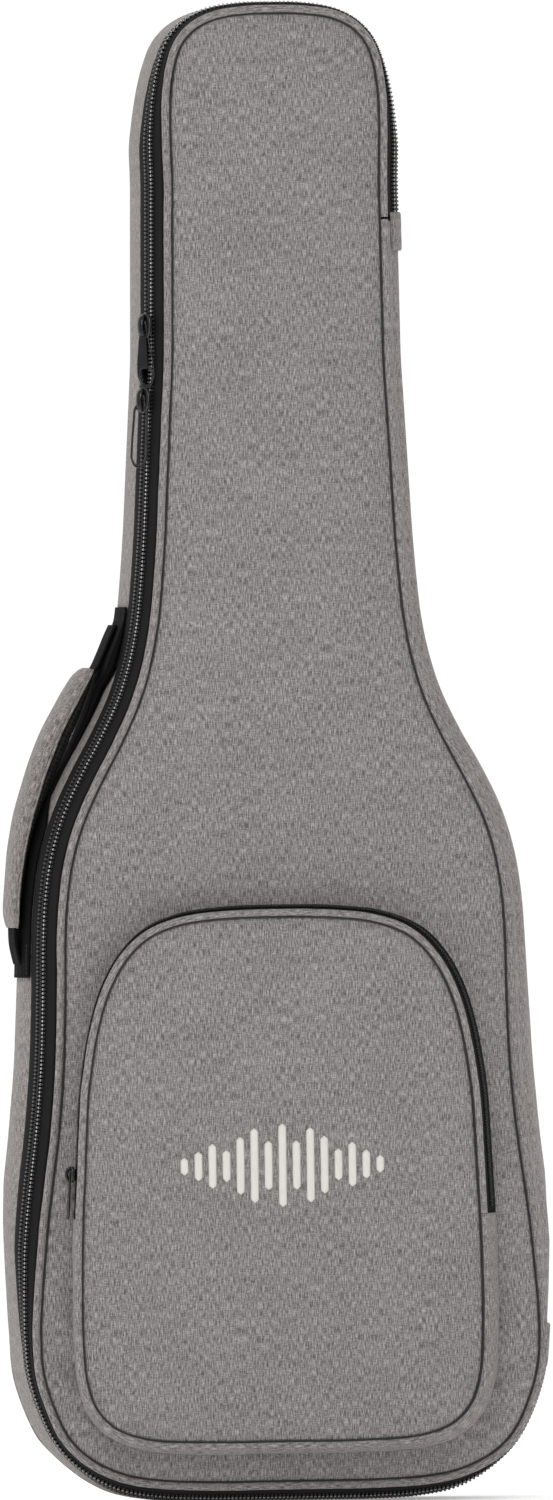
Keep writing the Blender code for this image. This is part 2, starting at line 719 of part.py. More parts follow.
def handle():
    pts = np.array([(x, z) for x, z, _, _ in GRIP], float)
    tangents = np.gradient(pts, axis=0)
    tangents /= np.linalg.norm(tangents, axis=1)[:, None]
    normals = np.stack([tangents[:, 1], -tangents[:, 0]], 1)
    normals[normals[:, 0] > 0] *= -1
    cover = []
    pad = []
    for (x, z, inner, outer), normal in zip(GRIP, normals):
        cover.append(grip_ring(x, z, normal, 0.2, outer, 19.0, 4.0))
        pad.append(grip_ring(x, z, normal, -inner, -0.2, 17.5, 1.0))
    verts, faces = skin(cover, False)
    make("handle_grip_cover", verts, faces, grey("handle_grip_cover"))
    verts, faces = skin(pad, False)
    make("handle_grip_pad", verts, faces, material("air_mesh", (0.012, 0.012, 0.013), 0.95))
    web = material("webbing", (0.014, 0.014, 0.015), 0.6)
    top = [(-124.9, HANDLE_Y, 587.0), (-120.2, HANDLE_Y, 598.0), HANDLE_TOP]
    ribbon("handle_tab_top", top, 30, 2.4, web, (0, 1, 0))
    low = [(-183.9, HANDLE_Y, 400.5), (-183.8, HANDLE_Y, 392.5), HANDLE_LOW]
    ribbon("handle_tab_bottom", low, 30, 2.4, web, (0, 1, 0))
    names = ("grip_cover", "grip_pad", "tab_top", "tab_bottom")
    pivot("carry_handle_lift", HANDLE_TOP, [f"handle_{name}" for name in names])


# Depth of the backing's front edge, and how much thicker it is there, by height.
BACKING_FRONT = [(470, 31), (490, 45), (560, 45), (575, 31)]
BACKING_LIFT = [(515, 0), (532, 1.5), (548, 3.2), (560, 3.8), (575, 2.8), (588, 0.3), (592, 0)]


def handle_backing(loop):
    """Webbing sewn up the wall behind the grip, wide at its two patches and narrow between them."""
    web = material("webbing", (0.014, 0.014, 0.015), 0.6)
    path = loop.stations(loop.index(-1, 626), loop.index(-1, 368))

    def section(z):
        front = lerp_table(BACKING_FRONT, z)
        depths = (front, *FLAT_D, 74)
        lift = lerp_table(BACKING_LIFT, z)
        outer = [(wall_n(z, d) + 1.8 + lift, d) for d in depths]
        return outer + [(wall_n(z, d) + 0.4, d) for d in reversed(depths)]

    sweep("handle_backing", path, section, web)


# ---- back straps


def shoulder_straps():
    y = FRONT_Y + DEPTH
    pad_mat = grey("strap_pad")
    web = material("webbing", (0.014, 0.014, 0.015), 0.6)
    plastic = material("buckle", (0.012, 0.012, 0.013), 0.4)
    for side, word in ((-1, "left"), (1, "right")):
        path = [
            (side * 30, y + 9.0, 664), (side * 36, y + 19, 630), (side * 50, y + 29, 560),
            (side * 66, y + 32, 480), (side * 80, y + 28, 400), (side * 90, y + 19, 335),
            (side * 94, y + 13, 305),
        ]
        widths = [52, 62, 68, 68, 66, 56, 44]
        thick = [8, 11, 12, 12, 12, 11, 8]
        ribbon(f"shoulder_strap_{word}", path, 60, thick, pad_mat, (1, 0, 0), widths)
        z = 284.0
        x = side * 96.0
        frame = box(f"strap_buckle_{word}", (x - 19, y + 10, z - 15), (x + 19, y + 15, z + 15), plastic)
        for k, (low, high) in enumerate(((-11.0, -3.0), (3.0, 11.0))):
            near = (x - 14, y, z + low)
            far = (x + 14, y + 30, z + high)
            slot = box(f"strap_buckle_{word}_slot{k}", near, far, plastic)
            boolean(frame, slot, "DIFFERENCE")
        lower = [
            (side * 134, y + 4.6, 118), (side * 122, y + 6.0, 160), (side * 108, y + 7.2, 220),
            (side * 99.5, y + 8.2, 262), (side * 97.0, y + 9.0, 274), (side * 96.3, y + 12.5, 278.5),
            (side * 96.2, y + 16.4, 276), (side * 96.8, y + 17.0, 262), (side * 100, y + 16.0, 232),
        ]
        ribbon(f"strap_webbing_{word}", lower, 24, 1.4, web, (1, 0, 0.0))
        patch = [
            (side * 112, y + 0.3, 84), (side * 150, y + 0.3, 92), (side * 150, y + 0.3, 132),
            (side * 116, y + 0.3, 144),
        ]
        prism(f"strap_anchor_{word}", patch, (0, 2.6, 0), grey(f"strap_anchor_{word}"))
    yoke = [(-66, y + 0.3, 650), (66, y + 0.3, 650), (50, y + 0.3, 706), (-50, y + 0.3, 706)]
    prism("strap_yoke", yoke, (0, 2.4, 0), grey("strap_yoke"))
    loop_path = [
        (-70, y + 4.6, 905), (-56, y + 9, 905), (-32, y + 22, 905), (0, y + 27, 905),
        (32, y + 22, 905), (56, y + 9, 905), (70, y + 4.6, 905),
    ]
    ribbon("hang_loop", loop_path, 25, 2.2, web, (0, 0, 1))


# ---- inside


def inside():
    y = FRONT_Y
    foam_mat = material("foam", (0.08, 0.08, 0.085), 0.95)
    shape = [(-62, 86.6), (-62, 42), (-34, 42), (-27, 60), (27, 60), (34, 42), (62, 42), (62, 86.6)]
    prism("neck_rest", [(x, y + d, 800) for x, d in shape], (0, 0, 62), foam_mat)
    pad = [(-70, 30), (-70, 84), (70, 84), (70, 30)]
    rubber = material("bumper", (0.02, 0.02, 0.02), 0.85)
    prism("bottom_bumper", [(x, y + d, 16.0) for x, d in pad], (0, 0, 9.5), rubber)
    web = material("webbing", (0.014, 0.014, 0.015), 0.6)
    box("neck_strap", (-58, y + 38.6, 816), (58, y + 40.6, 846), web)
    pivot("neck_strap_open", (57, y + 39.6, 831), ["neck_strap"])


def lid_pivot():
    x = (HINGE_LOW[0] + HINGE_HIGH[0]) / 2
    z = (HINGE_LOW[1] + HINGE_HIGH[1]) / 2
    names = ["front_panel_cloth", "front_panel_foam", "front_panel_lining", "lid_piping"]
    names += ["zipper_tape_lid", "zipper_teeth_lid"]
    return pivot("lid_hinge", (x, FRONT_Y, z), names)


def flap_pivot(hinge):
    fixed = ["band_lower", "piping_lower", "front_lower", "band_upper", "zipper_base", "teeth_base"]
    for name in fixed:
        piece = bpy.data.objects[f"pocket_{name}"]
        piece.parent = hinge
        piece.location = -hinge.location
    names = ["flap_front", "flap_piping", "flap_zipper", "flap_teeth"]
    pivot("pocket_flap_fold", (POCKET_X, FOLD_Y, FLAP_Z), names, hinge)


def main():
    for obj in list(bpy.data.objects):
        bpy.data.objects.remove(obj)
    marks = [(1, ZIP_TOP_Z), (1, HINGE_TOP_Z), (1, ZIP_BOTTOM_Z), (1, HINGE_BOTTOM_Z)]
    marks += [(1, 876.0), (1, 122.0), (1, 91.0), (1, 903.0)]
    marks += [(-1, z) for z in (705, 780, 795, 803, 825, 900, 626, 368)]
    loop = Loop(OUTLINE, 14.0, 80.0, marks)
    side_wall(loop)
    hinge_side(loop)
    main_zipper(loop)
    end_tabs(loop)
    lid(loop)
    back(loop)
    main_sliders(loop)
    hinge = lid_pivot()
    pocket(loop)
    flap_pivot(hinge)
    handle()
    handle_backing(loop)
    shoulder_straps()
    inside()


main()
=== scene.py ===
"""Padded gig bag: soft shells, zippers, pocket, straps and handle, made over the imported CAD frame."""

import math

import bmesh
import bpy
import numpy as np
from mathutils import Matrix, Vector, noise


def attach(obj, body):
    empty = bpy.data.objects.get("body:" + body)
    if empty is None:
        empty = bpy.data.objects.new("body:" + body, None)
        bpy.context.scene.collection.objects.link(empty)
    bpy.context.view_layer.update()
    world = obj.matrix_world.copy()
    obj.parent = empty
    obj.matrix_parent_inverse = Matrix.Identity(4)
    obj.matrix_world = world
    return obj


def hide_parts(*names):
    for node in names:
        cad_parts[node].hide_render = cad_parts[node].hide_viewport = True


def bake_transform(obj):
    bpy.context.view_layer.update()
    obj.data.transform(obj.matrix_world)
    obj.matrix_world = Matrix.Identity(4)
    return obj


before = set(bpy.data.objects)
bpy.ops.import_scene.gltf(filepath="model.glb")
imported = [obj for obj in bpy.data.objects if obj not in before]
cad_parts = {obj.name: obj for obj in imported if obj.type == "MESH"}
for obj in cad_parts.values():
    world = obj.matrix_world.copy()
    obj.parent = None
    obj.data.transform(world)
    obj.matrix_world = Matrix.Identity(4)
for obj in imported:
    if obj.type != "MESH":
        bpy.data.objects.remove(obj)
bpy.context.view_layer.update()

MM = 0.001
DEPTH = 105.0
FRONT_Y = -52.5
BACK_Y = FRONT_Y + DEPTH
TRACK_D = 15.5
ZIP_TOP_Z, ZIP_BOTTOM_Z = 899.0, 103.0
HINGE_TOP_Z, HINGE_BOTTOM_Z = 896.0, 105.0
FLAP_Z = 200.0
POCKET_V = -30.0
POCKET_X, POCKET_BASE_X = -10.0, -2.0
POCKET_PART_V = -17.0
PITCH = 2.8  # main zipper teeth
SEAM_OUT, FULL_BOW = 5.6, 18.5
FLAT_D = 46.0, 60.0  # the wall is flat between these depths
HANDLE_Y = 6.0
PIPING = 3.1, 2.75  # how far out of the seam line its middle lies, and its radius
POCKET_PIPING = 3.0, 2.55
GROOVE_SHADOW_RADIUS = 0.62  # radius of the dark cord painted as shadow in a seam groove
LOW_Z = 14  # teeth whose track is below this height are kept off the ground
SLIDER_Z = {"upper": 824.0, "lower": 771.5, "pocket": 231}
MOTIF_Z, NECK_STRAP_Z, HANG_LOOP_Z = 236, 831, 905
SPINE = 110, 960  # the heights between which rings of a panel shrink to its middle line

# Right half of the front seam line, (x, z) in millimetres, as in the CAD.
OUTLINE = [
    (0, 14.2), (30, 14.2), (60, 14.4), (92, 16), (119, 20.6), (142, 31.5), (157, 45.5),
    (168, 67), (175, 90), (177, 113), (176.2, 139), (173.8, 167), (171, 195), (167.4, 223),
    (163.6, 251), (160.5, 279), (158.4, 307), (157.2, 336), (156.6, 364), (156.2, 392),
    (154.6, 420), (150.5, 448), (142.3, 476), (129.3, 504), (114.4, 532), (101.5, 560),
    (92.8, 588), (87.4, 616), (84.2, 645), (81.5, 680), (80.13, 705), (78.8, 730), (77.45, 755),
    (76.1, 780), (75.3, 795), (75.0, 803), (74.7, 825), (74.4, 850), (74.1, 875), (73.8, 900),
    (73.5, 925), (74.0, 945), (74.4, 962), (73.7, 985), (70.4, 1007), (65.4, 1020.5),
    (56, 1031), (42, 1038), (21, 1041.5), (0, 1042),
]
BOW = [
    (14, 15.4), (16, 15.4), (20, 13.2), (25, 11.5), (31.5, 9), (45, 7.5), (85, 8), (112, 9),
    (140, 12.8), (167, 17), (195, 21), (223, 24), (279, 25.2), (335, 24.4), (392, 22.6),
    (450, 22.4), (505, 22), (560, 20), (616, 18.5), (690, 18.5), (950, 18.5), (985, 13.5),
    (1010, 10), (1042, 8),
]
# The wall from front seam to mid depth: depth, how far out at FULL_BOW, and what more bow adds.
FRONT_PROFILE = [(0, 5.6, 0), (11.2, 10.0, 0.15), (19.6, 16.0, 0.2), (29, 17.75, 0.32), (46, 18.5, 1)]
POCKET_OUTLINE = [
    (0, 43), (60, 43.2), (98, 46), (120, 54), (133, 68), (139.5, 88), (141.5, 110), (142, 139),
    (141.6, 170), (140.6, 200), (139.2, 228), (137.8, 256), (136.2, 283), (133, 308),
    (128, 334), (120.5, 358), (109, 379), (93, 395), (70, 404.5), (40, 408.5), (0, 409.5),
]


def catmull(points, closed=True, per=12):
    """A centripetal Catmull-Rom curve through the points."""
    pts = [np.array(p, float) for p in points]
    if closed:
        ring = [pts[-1], *pts, *pts[:2]]
    else:
        ring = [2 * pts[0] - pts[1], *pts, 2 * pts[-1] - pts[-2]]
    out = []
    for p in zip(ring, ring[1:], ring[2:], ring[3:]):
        t = [0.0]
        for a, b in zip(p, p[1:]):
            t.append(t[-1] + max(np.linalg.norm(b - a), 1e-9) ** 0.5)
        for u in (t[1] + (t[2] - t[1]) * j / per for j in range(per)):

            def mix(a, b, i, k):
                return (t[k] - u) / (t[k] - t[i]) * a + (u - t[i]) / (t[k] - t[i]) * b

            a = [mix(p[i], p[i + 1], i, i + 1) for i in range(3)]
            b = [mix(a[i], a[i + 1], i, i + 2) for i in range(2)]
            out.append(mix(*b, 1, 2))
    if not closed:
        out.append(pts[-1])
    return np.array(out)


def unit(v):
    return v / np.linalg.norm(v, axis=-1, keepdims=True)


def run_of(pts):
    """Distance along a path at each of its points."""
    return np.concatenate([[0], np.cumsum(np.linalg.norm(np.diff(pts, axis=0), axis=1))])


class Loop:
    """A closed outline that can be sampled evenly, whole or between two heights."""

    def __init__(self, half):
        self.p = catmull(half + [(-x, z) for x, z in half[-2:0:-1]])
        self.closed = np.vstack([self.p, self.p[:1]])
        self.s = run_of(self.closed)
        self.length = self.s[-1]

    def at(self, s):
        s = np.mod(s, self.length)
        return np.stack([np.interp(s, self.s, self.closed[:, k]) for k in (0, 1)], 1)

    def frames(self, s):
        """Points and outward normals at arc lengths s."""
        ahead = unit(self.at(s + 1.5) - self.at(s - 1.5))
        return self.at(s), np.stack([ahead[:, 1], -ahead[:, 0]], 1)

    def where(self, side, z):
        """Arc length of the point at this height on the right (side 1) or left (-1)."""
        pick = np.where(self.p[:, 0] * side > 0)[0]
        return float(self.s[pick[np.argmin(abs(self.p[pick, 1] - z))]])

    def exactly(self, side, z, reach):
        """The same, looked for more finely within reach of it."""
        near = self.where(side, z) + np.linspace(-reach, reach, int(40 * reach) + 1)
        return near[np.argmin(abs(self.at(near)[:, 1] - z))]

    def span(self, side0, z0, side1, z1, step):
        a, b = self.where(side0, z0), self.where(side1, z1)
        if b <= a:
            b += self.length
        return np.linspace(a, b, max(2, int(round((b - a) / step))) + 1)

    def round(self, step):
        count = int(round(self.length / step))
        return np.arange(count) * self.length / count


MAIN = Loop(OUTLINE)
POCKET = Loop(POCKET_OUTLINE)


def table(rows, at):
    return np.interp(at, [r[0] for r in rows], [r[1] for r in rows])


def bow(z):
    """The side wall's bow by height, smoothed a little."""
    return sum(table(BOW, z + k) for k in (-4, -2, 0, 2, 4)) / 5


def wall_n(z, d):
    """How far out of the seam line the side wall stands, at this height and depth."""
    b = bow(z)
    d = d + 0 * z
    rear = SEAM_OUT + (b - SEAM_OUT) * (1 - (np.maximum(d - FLAT_D[1], 0) / (DEPTH - FLAT_D[1])) ** 3)
    near = [np.maximum(d + k, 0) for k in (-1.5, 0, 1.5)]
    out = sum(table(FRONT_PROFILE, k) for k in near) / 3
    gain = sum(table([row[::2] for row in FRONT_PROFILE], k) for k in near) / 3
    low = SEAM_OUT + (out - SEAM_OUT) * (b - SEAM_OUT) / (FULL_BOW - SEAM_OUT)
    front = np.where(b <= FULL_BOW, low, out + (b - FULL_BOW) * gain)
    return np.where(d > FLAT_D[0], rear, front)


def ripple(points, size, seed):
    """Smooth noise from -1 to 1 at each point, with features about size millimetres across."""
    shift = Vector((seed * 17.3, seed * 5.1, seed * 9.7))
    return np.array([noise.noise(Vector(p) / size + shift) for p in points])


def wander(x, z, size, seed):
    """The same noise over the front plane."""
    return ripple(np.stack([x, 0 * x, z], 1), size, seed)


def stand(p, y):
    """Points or directions (x, z) as (x, y, z)."""
    return np.stack([p[:, 0], y + 0 * p[:, 0], p[:, 1]], 1)


def crosswise(nrm):
    """The direction along an outline, from its outward normals."""
    return stand(nrm[:, ::-1] * (-1, 1), 0)


# ---------------------------------------------------------------- meshes


def put(name, data):
    obj = bpy.data.objects.new(name, data)
    bpy.context.scene.collection.objects.link(obj)
    return obj


def dress(obj, slot, *nodes, loft=None):
    """Hides the CAD nodes that a piece replaces; slot, what it is made of, and loft, how far its padding
    gives, are not used.
    """
    if nodes:
        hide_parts(*nodes)
    return obj


def build(name, verts, faces, mat, uv=None, body=None, smooth=True):
    """A mesh piece from millimetres, with a metric UV map for the weave, turned outwards."""
    mesh = bpy.data.meshes.new(name)
    pts = np.asarray(verts, float) * MM
    mesh.from_pydata(pts.tolist(), [], faces)
    mesh.update()
    mesh.calc_loop_triangles()
    tris = np.array([t.vertices[:] for t in mesh.loop_triangles])
    a, b, c = (pts[tris[:, k]] for k in range(3))
    if uv is None:
        uv = pts[[l.vertex_index for l in mesh.loops]][:, [0, 2]]
    mesh.uv_layers.new(name="weave").data.foreach_set("uv", np.asarray(uv, np.float32).ravel())
    if float(np.einsum("ij,ij->i", a, np.cross(b, c)).sum()) < 0:
        mesh.flip_normals()
    mesh.materials.append(mat)
    if smooth:
        mesh.shade_smooth()
    obj = put(name, mesh)
    if body:
        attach(obj, body)
    return obj


def grid_faces(rows, cols, closed=False):
    """Quads between rings of points, and from the last ring to the first one when closed."""
    faces = []
    for i in range(rows if closed else rows - 1):
        a, b = i * cols, (i + 1) % rows * cols
        faces += [(a + j, a + (j + 1) % cols, b + (j + 1) % cols, b + j) for j in range(cols)]
    return faces


def swept(name, rings, mat, s, body, slot, *nodes, closed=False, loft=None):
    """A skin over rings[M, K, 3] whose sections are closed; s is the run of each ring in mm."""
    rings = np.asarray(rings, float)
    m, k, _ = rings.shape
    faces = grid_faces(m, k, closed)
    around = np.linalg.norm(np.roll(rings, -1, 1) - rings, axis=2).mean(0)
    around = np.concatenate([[0], np.cumsum(around)])
    run = np.concatenate([s, [s[-1] + (s[1] - s[0])]]) if closed else s
    uv = []
    for i in range(m if closed else m - 1):
        for j in range(k):
            uv += [(run[i + a], around[j + b]) for a, b in ((0, 0), (0, 1), (1, 1), (1, 0))]
    if not closed:
        for row, way in ((0, -1), (m - 1, 1)):
            faces.append(tuple(range(row * k, row * k + k))[::way])
            uv += [(p[0] + p[2], p[1]) for p in rings[row] - rings[row][0]][::way]
    made = build(name, rings.reshape(-1, 3), faces, mat, np.array(uv)[:, ::-1] * MM, body)
    return dress(made, slot, *nodes, loft=loft)


def beads(name, rings, mat, body):
    """Many small closed pieces in one mesh, from rings[count, stations, points, 3]."""
    count, m, k, _ = rings.shape
    one = grid_faces(m, k) + [tuple(range(k))[::-1], tuple(range((m - 1) * k, m * k))]
    faces = [tuple(i * m * k + v for v in face) for i in range(count) for face in one]
    return build(name, rings.reshape(-1, 3), faces, mat, None, body)


def along(loop, s, section, place=None):
    """Rings from section(z) -> (n[K, M], d[K, M]) carried along a loop."""
    p, nrm = loop.frames(s)
    n, d = np.broadcast_arrays(*section(p[:, 1]))
    if place is not None:
        return np.stack([place(p, nrm, n[j], d[j]) for j in range(len(n))], 1)
    x, z = (p[:, k] + n * nrm[:, k] for k in (0, 1))
    return np.stack([x, FRONT_Y + d + 0 * x, z], 2).transpose(1, 0, 2)


def skin_section(depths, out, thick, dent=None):
    """Closed section of a cloth that lies out mm off the wall, thick deep, moved by dent(depth)."""

    def section(z):
        top = np.array([wall_n(z, d) + out for d in depths])
        n = np.vstack([top, top[::-1] - thick])
        d = np.array([k + 0 * z for k in [*depths, *depths[::-1]]])
        for j, depth in enumerate(depths if dent else ()):
            n[j] += dent(depth)
            n[-1 - j] += dent(depth)
        return n, d

    return section


def pillow(name, loop, insets, depths, mat, body, spine=SPINE, shift=0.0, step=5.0):
    """A closed pad inside an outline, with rings at each inset; depths are front and back(inset, x, z)."""
    p = loop.at(loop.round(step))
    core = np.stack([0 * p[:, 0], np.clip(p[:, 1], *spine)], 1)
    reach = np.linalg.norm(core - p, axis=1)
    rings = [p + (core - p) * np.clip(inset / reach, 0, 1)[:, None] for inset in insets]
    ways = [np.minimum(inset, reach) for inset in insets]
    last = rings[-1]
    for share in (0.2, 0.4, 0.6, 0.8, 1.0):
        rings.append(last + (core - last) * share)
        ways.append(np.linalg.norm(rings[-1] - p, axis=1))
    sides = []
    for depth in depths:
        pairs = [(r[:, 0], r[:, 1], way) for r, way in zip(rings, ways)]
        sides.append([np.stack([x + shift, FRONT_Y + depth(way, x, z), z], 1) for x, z, way in pairs])
    rows = sides[1][::-1] + sides[0]
    obj = build(name, np.vstack(rows), grid_faces(len(rows), len(p)), mat)
    weld(obj, 0.02)
    if body:
        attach(obj, body)
    return obj


def reshape(obj, change):
    bm = bmesh.new()
    bm.from_mesh(obj.data)
    change(bm)
    bm.to_mesh(obj.data)
    bm.free()


def weld(obj, distance_mm):
    def change(bm):
        bmesh.ops.remove_doubles(bm, verts=bm.verts, dist=distance_mm * MM)
        bmesh.ops.dissolve_degenerate(bm, dist=1e-6, edges=bm.edges)
        bmesh.ops.recalc_face_normals(bm, faces=bm.faces)

    reshape(obj, change)
    obj.data.shade_smooth()


def cut_rows(obj, heights):
    def change(bm):
        for z in heights:
            geom = [*bm.verts, *bm.edges, *bm.faces]
            bmesh.ops.bisect_plane(bm, geom=geom, dist=1e-7, plane_co=(0, 0, z * MM), plane_no=(0, 0, 1))

    reshape(obj, change)


# ---------------------------------------------------------------- materials


class Nodes:
    """Short ways to add and link shader nodes."""

    def __init__(self, name):
        self.mat = bpy.data.materials.new(name)
        self.mat.use_nodes = True
        self.tree = self.mat.node_tree
        self.shader = self.tree.nodes["Principled BSDF"]

    def link(self, value, socket):
        if hasattr(value, "is_linked"):
            self.tree.links.new(value, socket)
        else:
            socket.default_value = value

    def add(self, kind, out=0, settings=(), **inputs):
        node = self.tree.nodes.new("ShaderNode" + kind)
        for key, value in dict(settings).items():
            setattr(node, key, value)
        for key, value in inputs.items():
            spot = int(key[1:]) if key[0] == "i" and key[1:].isdigit() else key.replace("_", " ")
            self.link(value, node.inputs[spot])
        return node.outputs[out]

    def uv(self, x, y):
        """The weave's UV map, with this many cells to the metre each way."""
        where = self.add("UVMap", settings={"uv_map": "weave"})
        return self.add("Mapping", Vector=where, Scale=(x, y, 1))

    def noise(self, x, y, detail=2.0, rough=0.6):
        return self.add("TexNoise", Vector=self.uv(x, y), Scale=1.0, Detail=detail, Roughness=rough)

    def math(self, op, a, b=0.0):
        return self.add("Math", settings={"operation": op}, i0=a, i1=b)

    def mix(self, *parts):
        """The sum of (socket, share) parts."""
        total, *rest = [self.math("MULTIPLY", value, share) for value, share in parts]
        for part in rest:
            total = self.math("ADD", total, part)
        return total

    def ribs(self, way, size, scale, wobble):
        """Bands across the weave's X or Y."""
        bands = {"wave_type": "BANDS", "bands_direction": way}
        return self.add("TexWave", 1, bands, Vector=self.uv(size, size), Scale=scale, Distortion=wobble)

    def ramp(self, value, stops):
        node = self.tree.nodes.new("ShaderNodeValToRGB")
        self.tree.links.new(value, node.inputs[0])
        band = node.color_ramp
        while len(band.elements) < len(stops):
            band.elements.new(0.5)
        for element, (at, colour) in zip(band.elements, stops):
            element.position = at
            element.color = (*colour, 1)
        return node.outputs[0]

    def bump(self, height, strength, distance):
        made = self.add("Bump", Strength=strength, Distance=distance, Height=height)
        self.link(made, self.shader.inputs["Normal"])

    def finish(self, colour, rough, sheen=0.0, shine=0.5, metal=0.0):
        values = {"Base Color": colour, "Roughness": rough, "Specular IOR Level": shine, "Metallic": metal}
        if sheen:
            values |= {"Sheen Weight": sheen, "Sheen Roughness": 0.5}
        for key, value in values.items():
            self.link(value, self.shader.inputs[key])
        return self.mat


def srgb(r, g, b, gain=1.0):
    def lin(c):
        c /= 255.0
        return c / 12.92 if c <= 0.04045 else ((c + 0.055) / 1.055) ** 2.4

    return tuple(lin(c) * gain for c in (r, g, b))


def heather(name, warm=0.0, gain=0.93):
    """Grey melange polyester: streaks of light and dark yarn both ways over a fine plain weave."""
    n = Nodes(name)
    warp = n.noise(1500, 170)
    weft = n.noise(240, 1600)
    fleck = n.noise(1500, 1500, 1.0, 0.5)
    cloud = n.noise(22, 22, 2.0, 0.5)
    mixed = n.mix((warp, 0.56), (weft, 0.28), (fleck, 0.12), (cloud, 0.04))
    stops = (
        (0.38, 86, 82, 82), (0.45, 119, 115, 114), (0.5, 143, 138, 137), (0.55, 163, 158, 157),
        (0.63, 195, 190, 188),
    )
    colour = n.ramp(mixed, [(at, srgb(r + warm, g, b - warm, gain)) for at, r, g, b in stops])
    weave = n.math("MULTIPLY", n.ribs("X", 330, 1.0, 0.6), n.ribs("Y", 330, 1.0, 0.6))
    n.bump(n.math("ADD", n.math("MULTIPLY", weave, 0.5), mixed), 0.55, 0.0005)
    rough = n.add("MapRange", Value=mixed, i1=0.3, i2=0.7, i3=0.95, i4=0.8)
    return n.finish(colour, rough, 0.12, 0.2)


def tape_cloth(name):
    """Woven black tape: fine ribs along it and a faint cross grain."""
    n = Nodes(name)
    mixed = n.mix((n.ribs("X", 900, 0.32, 0.4), 0.5), (n.noise(900, 2600), 0.5))
    colour = n.ramp(mixed, [(0.25, srgb(30, 29, 30, 0.62)), (0.8, srgb(30, 29, 30, 1.5))])
    n.bump(mixed, 0.5, 0.0004)
    return n.finish(colour, 0.82, 0, 0.12)


def webbing_cloth(name):
    n = Nodes(name)
    cross = n.math("ADD", n.math("MULTIPLY", n.ribs("Y", 1000, 0.25, 0.5), 0.6), 0.4)
    mixed = n.math("MULTIPLY", n.ribs("X", 1000, 0.14, 0.2), cross)
    colour = n.ramp(mixed, [(0.1, srgb(5, 5, 5)), (0.8, srgb(24, 23, 24))])
    n.bump(mixed, 0.7, 0.0006)
    return n.finish(colour, 0.85, 0, 0.08)


def mesh_cloth(name):
    """Black spacer mesh with rows of open cells."""
    n = Nodes(name)
    cells = n.add("TexVoronoi", Vector=n.uv(430, 300), Scale=1.0, Randomness=0.25)
    fine = n.noise(2500, 2500, 1.0)
    colour = n.ramp(cells, [(0.15, srgb(4, 4, 4)), (0.5, srgb(30, 30, 31)), (0.75, srgb(46, 46, 47))])
    n.bump(n.math("ADD", cells, n.math("MULTIPLY", fine, 0.15)), 0.9, 0.0014)
    return n.finish(colour, 0.8, 0, 0.2)


def lining_cloth(name):
    n = Nodes(name)
    mixed = n.mix((n.noise(700, 700, 4.0, 0.7), 0.6), (n.noise(60, 45, 3.0), 0.4))
    colour = n.ramp(mixed, [(0.3, srgb(40, 40, 42)), (0.7, srgb(74, 73, 75))])
    n.bump(mixed, 0.6, 0.0012)
    return n.finish(colour, 0.95, 0.3, 0.2)


def moulded(name, tone, rough, metal=0.0):
    n = Nodes(name)
    smear = n.noise(120, 120)
    n.bump(n.noise(1400, 1400, 3.0), 0.12, 0.0002)
    level = n.add("MapRange", Value=smear, i1=0.3, i2=0.7, i3=rough * 0.75, i4=rough * 1.3)
    colour = n.ramp(smear, [(at, srgb(*[c * share for c in tone])) for at, share in ((0.3, 0.8), (0.7, 1.2))])
    return n.finish(colour, level, metal=metal)


def thread(name, tone):
    n = Nodes(name)
    strands = n.ribs("Y", 1000, 0.42, 0.8)
    n.bump(strands, 0.6, 0.0004)
    return n.finish(n.ramp(strands, [(0.1, srgb(*tone, 0.72)), (0.6, srgb(*tone))]), 0.5, 0.3)


CLOTH = heather("heather_cloth")
CLOTH_SIDE = heather("heather_cloth_side", 2.0)
TAPE = tape_cloth("zipper_tape")
WEB = webbing_cloth("webbing")
AIR = mesh_cloth("air_mesh")
LINING = lining_cloth("lining")
TEETH = moulded("zipper_teeth", (17, 17, 18), 0.26)
# Painted highlights on the crests of the teeth: light grey on the front row, which faces the key light, and
# dimmer grey on the rear row.
CREST_HIGHLIGHT_PAINT = {
    -1: moulded("zipper_teeth_crests_front_painted_highlight", (178, 177, 175), 0.3),
    1: moulded("zipper_teeth_crests_rear_painted_highlight", (70, 70, 71), 0.3),
}
METAL = moulded("slider_metal", (19, 19, 20), 0.22, 0.2)
# A painted highlight: lighter grey metal for the bevelled rims that face outwards.
RIM_PAINTED_HIGHLIGHT = moulded("slider_metal_rims_painted_highlight", (84, 84, 86), 0.22, 0.4)
PLASTIC = moulded("buckle_plastic", (20, 20, 21), 0.42)
RUBBER = moulded("bumper_rubber", (26, 26, 27), 0.8)
SEAM = thread("seam_thread", (70, 67, 65))
# Dark thread for real stitches, also used as a painted shadow for the cords in seam grooves.
DARK_THREAD_AND_GROOVE_SHADOW = thread("seam_thread_dark_and_groove_shadow", (15, 14, 14))
IVORY = thread("embroidery", (252, 247, 239))


# ---------------------------------------------------------------- camera, floor and light
VIEW_HEIGHT, AWAY = 1.053, 20.0  # metres seen by the camera, and how far off it stands
AZIMUTH, ROLL = math.radians(-9.5), math.radians(-0.75)
AIM_SIDE, AIM_Z = 0.0042, 0.5262
FLOOR_RADIUS = 2.5
LAMPS = (
    ("key", (-0.7, -1.5, 1.35), 0.5, 8.0), ("fill", (2.4, -2.8, 1.6), 1.6, 3.0),
    ("back", (0.6, 2.6, 2.2), 1.5, 22.0),
)


